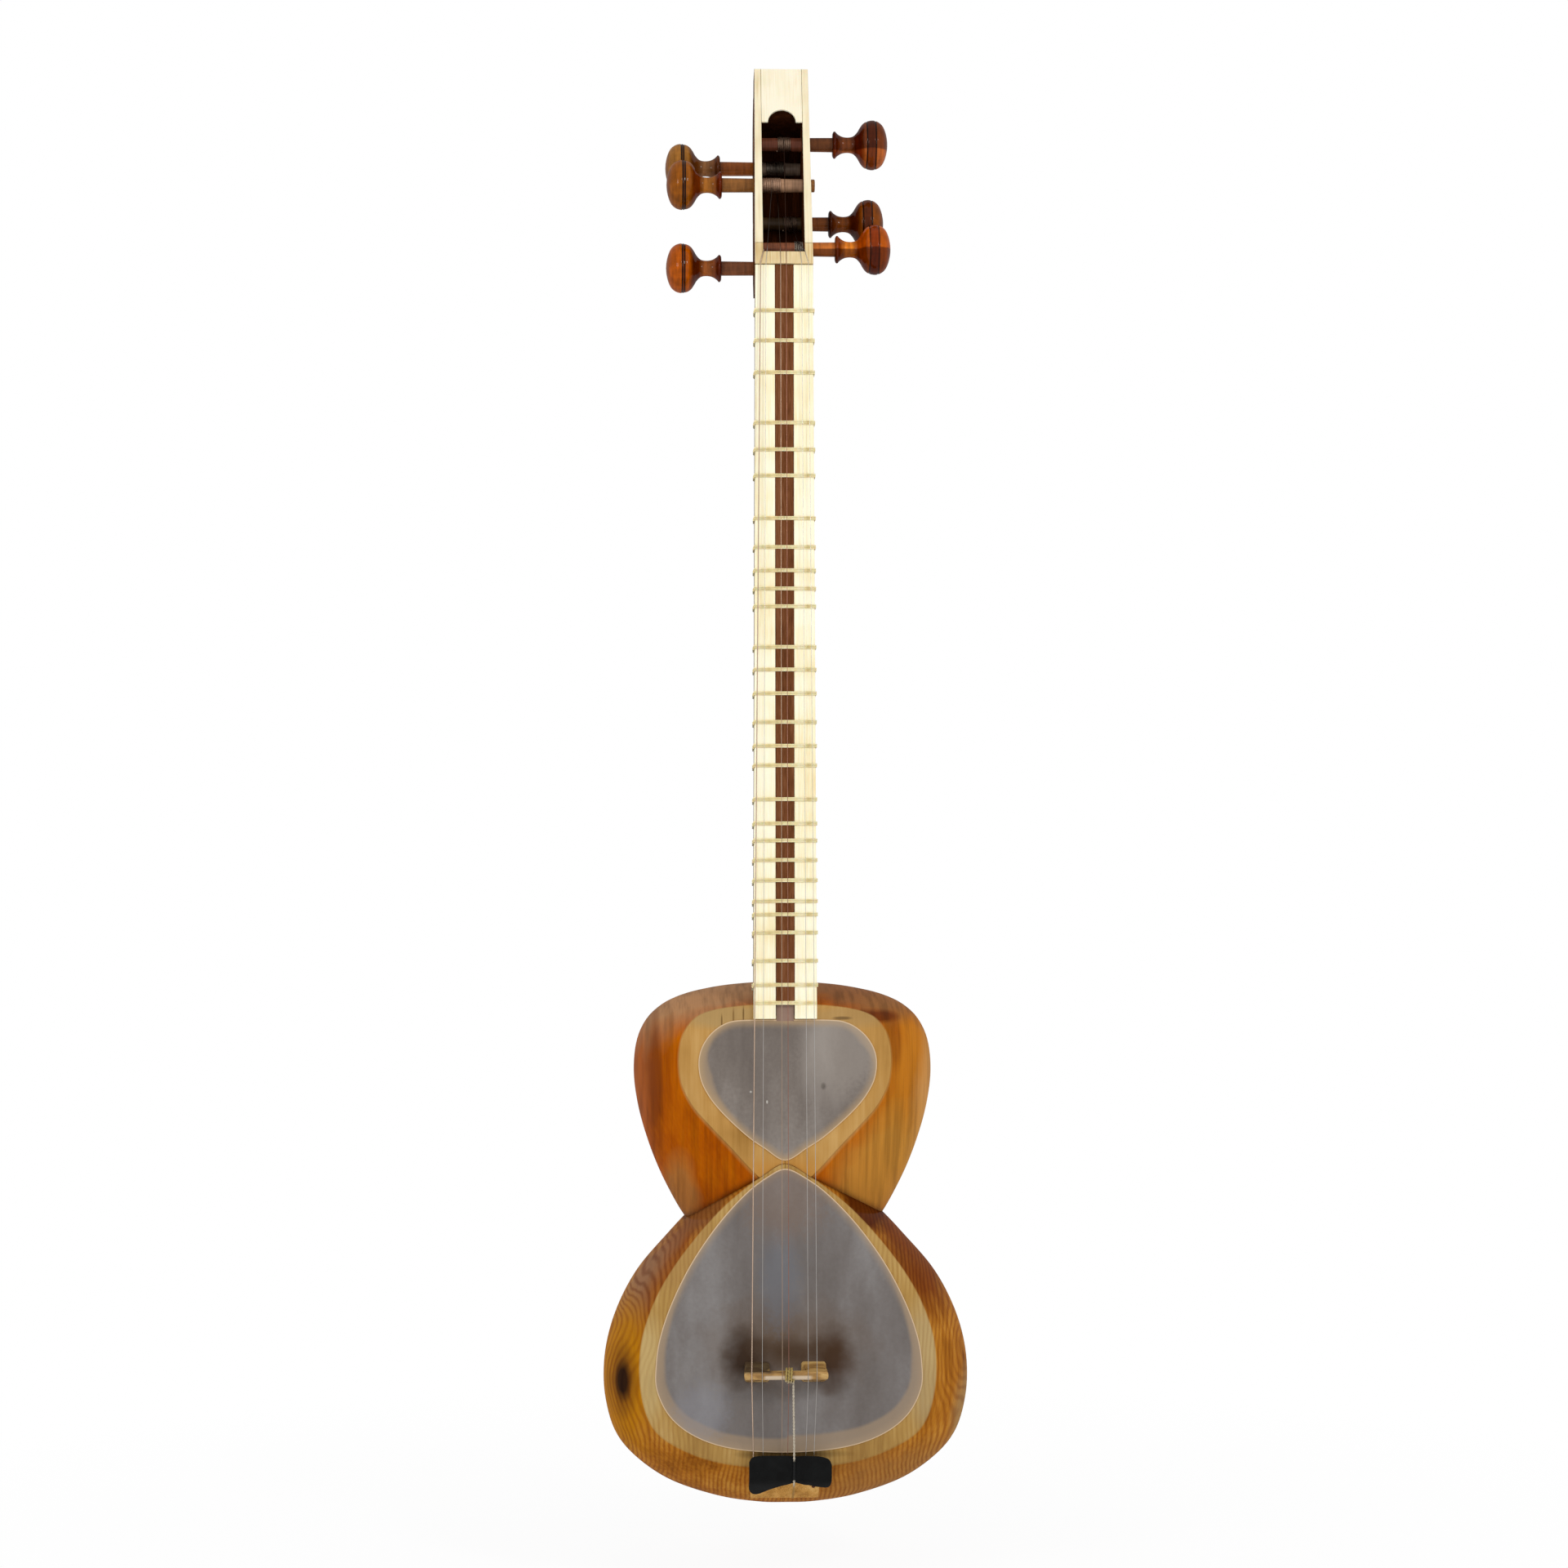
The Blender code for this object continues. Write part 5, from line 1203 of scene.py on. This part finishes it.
def turned(name, profile, finish, matrix, sides=56):
    """A lathe piece from its profile."""
    bm = bmesh.new()
    verts = [bm.verts.new((radius, 0, along)) for along, radius in profile]
    edges = [bm.edges.new(pair) for pair in zip(verts, verts[1:])]
    bmesh.ops.spin(bm, geom=verts + edges, axis=(0, 0, 1), cent=(0, 0, 0), angle=2 * math.pi, steps=sides)
    bmesh.ops.remove_doubles(bm, verts=bm.verts[:], dist=0.004 * MM)
    return mesh_piece(name, bm, finish, 50, matrix)


WINDING_METAL = {
    "peg_1": SHADED_DULL_BRASS, "peg_2": SHADED_DULL_STEEL, "peg_3": PINK_BRASS, "peg_4": SHADED_DULL_BRASS, "peg_5": SHADED_DULL_STEEL,
    "peg_6": BRONZE,
}
WINDING_DIAMETER, WINDING_PITCH = 0.75 * MM, 0.9 * MM
WINDING_MIDDLE, WINDING_OUTSIDE = WINDING_DIAMETER * 0.35, WINDING_DIAMETER * 0.85
STEPS_A_TURN = 24
for name, (side, run, depth, flange, across, tip) in PEGS.items():
    spot = peg_frame(side, run, depth)
    peg = turned(f"turned_{name}", peg_profile(side, flange, tip), lacquered(name, side, flange), spot)
    place_piece(peg, "peg_wood", name, body=name)
    middle = SIGN[side] * across
    radius = shaft_radius(middle, flange, tip) + WINDING_MIDDLE
    count = WINDING_TURNS[name]
    turns = []
    for i in range(STEPS_A_TURN * count + 1):
        turn = 2 * math.pi * i / STEPS_A_TURN
        along = middle + WINDING_PITCH * (i / STEPS_A_TURN - count / 2)
        turns.append((radius * math.cos(turn), radius * math.sin(turn), along))
    wound = strand(f"{name}_string_turns", [turns], WINDING_DIAMETER, WINDING_METAL[name], spot)
    place_piece(wound, "brass", body=name)
print("pegs:", len(PEGS))

# %% [markdown]
# ## Bridge
#
# The bridge is one bar of horn on two spread feet. It holds the strings 16 mm over the skin. Its front view
# is drawn out to a thickness that grows towards the feet, then every edge is rounded.

# %% Horn bridge
BRIDGE_BASE = SKIN_FRONT - TOUCH
BRIDGE_HEIGHT = 16.78 * MM
BRIDGE_TOP = BRIDGE_BASE - BRIDGE_HEIGHT
WIDE_FEET, THIN_TOP, FLARED_SHARE = 12.4, 5.0, 0.6
BAR_HALF, BAR_DEPTH = THIN_TOP / 2 * MM, 4.78 * MM
right_side = [
    (10, 12), (12.5, 10.6), (11.2, 7.5), (10.6, 4.5), (9.5, 3.2), (9.5, 0), (24.4, 0), (24.4, 3.2),
    (23.5, 4.5), (24.2, 7.5), (25, 10.6), (25, 16.78),
]
left_side = [(-x, up) for x, up in reversed(right_side)]
outline = [Vector((x * MM, BRIDGE_BASE - up * MM, -1)) for x, up in left_side + right_side]
bm = prism(outline, Vector((0, 0, 2)))
for vert in bm.verts:
    share = min((BRIDGE_BASE - vert.co.y) / BRIDGE_HEIGHT / FLARED_SHARE, 1)
    vert.co.z = vert.co.z * taper(WIDE_FEET, THIN_TOP, share) / 2 + BRIDGE_SPOT


def at_an_end(edge):
    """Whether an edge is at an outer end of the bar or at the inner end of a foot."""
    across = [abs(v.co.x) for v in edge.verts]
    low = min(v.co.y for v in edge.verts) > BRIDGE_BASE - 5 * MM
    return min(across) > 23 * MM or low and max(across) < 11 * MM


upright = [e for e in bm.edges if (e.verts[0].co.z - BRIDGE_SPOT) * (e.verts[1].co.z - BRIDGE_SPOT) > 0]
ends = [e for e in upright if at_an_end(e)]
bmesh.ops.bevel(bm, geom=ends, offset=1.7 * MM, segments=4, profile=0.5, affect="EDGES")
bridge = soften(mesh_piece("horn_bridge", bm, HORN, 30), 0.5 * MM, 3)
place_piece(bridge, "horn", "bridge")

# %% [markdown]
# ## Tail
#
# The strings end on a block with nails, glued under the lower rim. A leather pad lies over their ends,
# pinched into a bow tie by the cord that comes down from the bridge. Its folds run from the pinch outwards.
# They are given by a formula, because a cloth simulation has nothing to add to a patch this small and stiff.

# %% Places on the slope of the tail
RIM_BOTTOM = LOWER_RIM[0][1] * MM - NECK_LENGTH
fall = (LOWER_WIDEST[0][1] - LOWER_RIM[0][1]) * MM * rim_share(12 * MM, 0.0)
DOWN = Vector((12 * MM, fall)).normalized()
OUT = Vector((DOWN.y, -DOWN.x))


def tail_point(x, place):
    """A point from its distances down the bowl and out from it in millimetres."""
    spot = (DOWN * place[0] + OUT * place[1]) * MM
    return Vector((x, spot.x, RIM_BOTTOM + spot.y))


# %% String holder
side_view = ((0.7, 0.05), (15.0, 0.3), (24.4, 0.9), (24.3, 6.0), (14.0, 8.0), (1.7, 8.0), (-2.0, 5.3))
bm = prism([tail_point(-20.5 * MM, spot) for spot in side_view], Vector((41 * MM, 0, 0)))
holder = soften(mesh_piece("tail_block", bm, BLOCK_WOOD), 0.8 * MM, 3)
place_piece(holder, "horn", "string_holder")
outwards = Vector((0, OUT.x, OUT.y)).to_track_quat("Z", "Y").to_matrix().to_4x4()
nail_side = [(-0.4, 0), (-0.4, 1.1), (0.1, 1.1), (0.45, 0.85), (0.6, 0.4), (0.64, 0)]
nail = turned("nail_head", [(along * MM, radius * MM) for along, radius in nail_side], RUSTY_STEEL,
              Matrix.Translation(tail_point(17 * MM, (9.5, 8.0))) @ outwards, 20)
place_piece(nail, "steel")

# %% Leather pad
PAD_COLUMNS = (
    (-21.8, 4.0, -12.0), (-20.0, 6.6, -15.0), (-16.0, 7.5, -15.4), (-8.0, 7.6, -11.6), (0.0, 7.6, -9.0),
    (5.6, 7.2, -7.6), (12.0, 7.4, -9.0), (20.0, 7.0, -10.6), (25.6, 5.4, -10.8), (27.6, 2.1, -7.4),
)
PAD_UNDERSIDE = ((-11.0, -1.8), (-2.0, 7.1), (1.5, 9.0), (14.1, 9.0), (18.1, 8.8))
PINCH = (5.8, -7.6)
FOLD_HEIGHT, FOLDS, FOLD_RISE, FOLD_FADE = 0.9, 9, 4, 14
LEATHER_THICKNESS = 1.9 * MM


def pad_depth(height):
    """Depth of the pad's underside at a height, over the string ends and along the block."""
    path = [tail_point(0, place) for place in PAD_UNDERSIDE]
    return np.interp(-height, [-p.z for p in path], [p.y for p in path])


def fold(x, height):
    """How far a fold lifts the leather: ridges spread like a fan from the pinch."""
    across, up = x - PINCH[0], height - PINCH[1]
    reach = math.hypot(across, up)
    angle = math.atan2(up + 2.0, across)
    return FOLD_HEIGHT * math.cos(angle * FOLDS) * min(reach / FOLD_RISE, 1) * math.exp(-reach / FOLD_FADE)


columns = catmull(PAD_COLUMNS, 48)
bm = bmesh.new()
grid = []
for x, top, bottom in columns:
    column = []
    for height in np.linspace(top, bottom, 16):
        spot = RIM_BOTTOM + height * MM
        column.append(bm.verts.new((x * MM, pad_depth(spot) + 0.2 * MM - abs(fold(x, height)) * MM, spot)))
    grid.append(column)
for left, right in zip(grid, grid[1:]):
    for i in range(len(left) - 1):
        bm.faces.new((left[i], right[i], right[i + 1], left[i + 1]))
pad = mesh_piece("leather_pad", bm, LEATHER)
thick = pad.modifiers.new("thickness", "SOLIDIFY")
thick.thickness = LEATHER_THICKNESS
thick.offset = 1 if pad.data.polygons[0].normal.y < 0 else -1
soften(pad, 0.5 * MM)
place_piece(pad, "leather", "tail_pad")

# %% [markdown]
# ## Strings
#
# Each string is held tight at both ends, so it is straight between what it touches: the block at the tail,
# the bridge, the nut and the turns on its peg. A curve through those few points is all it needs.

# %% Strings
STRINGS = {
    "string_1": ("peg_6", "near", -14.3, -20.6, 0.7, BRONZE),
    "string_2": ("peg_3", "front", -11.0, -14.4, 0.3, STEEL),
    "string_3": ("peg_2", "front", -2.2, -2.4, 0.35, BRASS),
    "string_4": ("peg_1", "front", 1.3, 1.4, 0.35, RED_BRASS),
    "string_5": ("peg_4", "front", 10.5, 13.0, 0.3, STEEL),
    "string_6": ("peg_5", "front", 14.6, 18.2, 0.3, STEEL),
}
STRING_SLOT = {"string_1": "bronze", "string_3": "brass", "string_4": "brass"}
NUT_MIDDLE = 0.6 * MM
CLOSER_AT_TAIL, TAIL_END = 0.92, (-0.9, 3.3)


def tangent_point(start, centre, radius, meets):
    """Where a line from start touches a circle, on its front or on the side near the nut."""
    away = start - centre
    swing = math.acos(radius / away.length)
    choices = [centre + (Matrix.Rotation(sign * swing, 2) @ away.normalized()) * radius for sign in (1, -1)]
    return min(choices, key=lambda p: p.x if meets == "front" else p.y)


def string_route(peg, meets, at_nut, at_bridge, diameter):
    """Points of a string from the tail to its peg."""
    side, run, depth, flange, across, tip = PEGS[peg]
    lift = TOUCH + diameter / 2
    over_nut = -SEAT_GAP - VENEER - lift
    middle = SIGN[side] * across
    wound = shaft_radius(middle, flange, tip) + WINDING_OUTSIDE + diameter / 2
    lip = Vector((over_nut, SLOT_START + lift))
    end = tangent_point(lip, Vector((depth, run)), wound, meets)
    share = (lip.y - NUT_MIDDLE) / (end.y - NUT_MIDDLE)
    lip_across = at_nut + (across - at_nut) * min(max(share, 0.15), 0.4)
    return [
        tail_point(at_bridge * CLOSER_AT_TAIL, TAIL_END) + Vector((0, 0, lift)),
        Vector((at_bridge, BRIDGE_TOP - lift, BRIDGE_SPOT - BAR_HALF)),
        Vector((at_bridge, BRIDGE_TOP - lift, BRIDGE_SPOT + BAR_HALF)),
        HEAD @ Vector((at_nut, over_nut, NUT_MIDDLE)),
        HEAD @ Vector((lip_across, lip.x, lip.y)),
        HEAD @ Vector((across, end.x, end.y)),
    ]


for name, (peg, meets, at_nut, at_bridge, diameter, metal) in STRINGS.items():
    route = string_route(peg, meets, at_nut * MM, at_bridge * MM, diameter * MM)
    made = strand(f"wire_{name}", [route], diameter * MM, metal)
    place_piece(made, STRING_SLOT.get(name, "steel"), name)

# %% [markdown]
# ## Tether
#
# A waxed cord of two strands goes round the bridge's bar and down to the tail, pulls the pad into its pinch
# and ends on the block. It is held at both ends, like a string. The two strands are drawn as a twisted pair
# along one path.

# %% Tether
TETHER_PLACE, TETHER_TOP = 4.9 * MM, 4.2 * MM
radius = 0.7 * MM
away = 0.05 * MM + radius
bar_top, bar_under = BRIDGE_TOP - away, BRIDGE_TOP + BAR_DEPTH + away
ahead, behind = BRIDGE_SPOT + BAR_HALF + away, BRIDGE_SPOT - BAR_HALF - away


def bar_turns(turns, pitch):
    """Turns round the bridge's bar, as a rounded box path."""
    corners = [(bar_top, behind), (bar_top, ahead), (bar_under, ahead), (bar_under, behind)]
    points = []
    for i in range(4 * turns + 1):
        y, z = corners[i % 4]
        points.append(Vector((TETHER_TOP - pitch * (4 * turns - i) / 4, y, z)))
    return points


def twisted(path, spread, pitch):
    """Two strands that wind round a path."""
    points = catmull([tuple(p) for p in path], 260)
    steps = np.gradient(points, axis=0)
    runs = np.concatenate([[0], np.cumsum(np.linalg.norm(np.diff(points, axis=0), axis=1))])
    first, second = [], []
    for point, step, run in zip(points, steps, runs):
        along = Vector(step).normalized()
        across = along.cross(Vector((1, 0, 0)) if abs(along.x) < 0.8 else Vector((0, 0, 1))).normalized()
        off = Matrix.Rotation(2 * math.pi * run / pitch, 3, along) @ across * spread
        first.append(tuple(Vector(point) + off))
        second.append(tuple(Vector(point) - off))
    return [first, second]


pinch_top, pinch_bottom, pad_edge = [RIM_BOTTOM + height * MM for height in (6.8, -4.3, -9.0)]
clear = -2.2 * MM - away
route = bar_turns(3, 1.5 * MM) + [
    Vector((TETHER_TOP, bar_under - 2.8 * MM, behind - 2.8 * MM)),
    Vector((TETHER_PLACE, pad_depth(pinch_top) + clear - 0.6 * MM, pinch_top + 4.2 * MM)),
    Vector((TETHER_PLACE, pad_depth(pinch_top) + clear, pinch_bottom)),
    Vector((TETHER_PLACE, pad_depth(pad_edge) + clear - 1.2 * MM, pad_edge)),
    tail_point(TETHER_PLACE, (10.5, 11.4)),
    tail_point(TETHER_PLACE, (20.6, 8.3)),
]
tether = strand("twisted_tether", twisted(route, 0.33 * MM, 4 * MM), 0.75 * MM, CORD)
place_piece(tether, "cord", "bridge_tether")

# %% [markdown]
# ## Camera, floor and light
#
# The camera stands a little over two metres away, level with the middle of the instrument and a touch to
# its left. A large soft lamp and a white world light it evenly. The floor lies under the hanging instrument
# and keeps its faint shadow, while the white ground comes from a Light Path node and not from more light.

# %% Camera
AIM, FLOOR_LEVEL, LIT = Vector((-0.0007, 0, -0.3131)), -0.8, (0, 0, -0.4)
DISTANCE, TURN = 2.2, math.radians(-2.5)
SENSOR, VIEW_ANGLE = 36, math.radians(24.1)


def aimed(name, data, spot, target):
    """An object at a spot that looks at a target."""
    made = bpy.data.objects.new(name, data)
    made.location = spot
    made.rotation_euler = (Vector(target) - Vector(spot)).to_track_quat("-Z", "Y").to_euler()
    shown.link(made)
    return made


camera_data = bpy.data.cameras.new("view")
camera_data.sensor_width = SENSOR
camera_data.lens = SENSOR / (2 * math.tan(VIEW_ANGLE / 2))
scene.camera = aimed("view", camera_data, AIM + Vector((math.sin(TURN), -math.cos(TURN), 0)) * DISTANCE, AIM)

# %% Floor


def in_view(tree):
    """1 for rays that come from the camera, straight or by way of something shiny or clear."""
    ray = put(tree, "LightPath").outputs
    seen = put(tree, "Math", {0: ray["Is Camera Ray"], 1: ray["Is Glossy Ray"]}, operation="MAXIMUM")
    return put(tree, "Math", {0: seen, 1: ray["Is Transmission Ray"]}, operation="MAXIMUM")


FLOOR, tree, place = new_finish("white_floor")
reach = put(tree, "VectorMath", {0: place}, operation="LENGTH").outputs["Value"]
near = put(tree, "MapRange", {"Value": reach, "From Min": 0.25, "From Max": 0.8, "To Min": 0.92})
share = put(tree, "Math", {0: in_view(tree), 1: near}, operation="MULTIPLY")
matt = put(tree, "BsdfDiffuse", {"Color": "#fafafa"})
glow = put(tree, "Emission", {"Color": (1, 1, 1, 1), "Strength": 1.0})
put(tree, "OutputMaterial", {"Surface": put(tree, "MixShader", {0: share, 1: matt, 2: glow})})
bm = bmesh.new()
bmesh.ops.create_grid(bm, x_segments=1, y_segments=1, size=6)
floor = mesh_piece("floor", bm, FLOOR, matrix=Matrix.Translation((0, 0, FLOOR_LEVEL)))
shown.link(floor)

# %% World and lamps
world = bpy.data.worlds.new("studio")
scene.world = world
world.use_nodes = True
world.node_tree.nodes.clear()
tree = world.node_tree
strength = put(tree, "MapRange", {"Value": in_view(tree), "To Min": 0.7, "To Max": 1.0})
sky = put(tree, "Background", {"Color": (1, 1, 1, 1), "Strength": strength})
put(tree, "OutputWorld", {"Surface": sky})


def lamp(name, spot, size, power):
    """A square soft lamp aimed at the middle of the instrument."""
    data = bpy.data.lights.new(name, "AREA")
    data.size = size
    data.energy = power
    aimed(name, data, spot, LIT)


lamp("key", (1.1, -1.5, 0.7), 0.35, 12)
lamp("fill", (-1.3, -1.4, 0.3), 0.5, 8)
scene.view_settings.view_transform = "Standard"

# %% The end
bpy.context.view_layer.update()
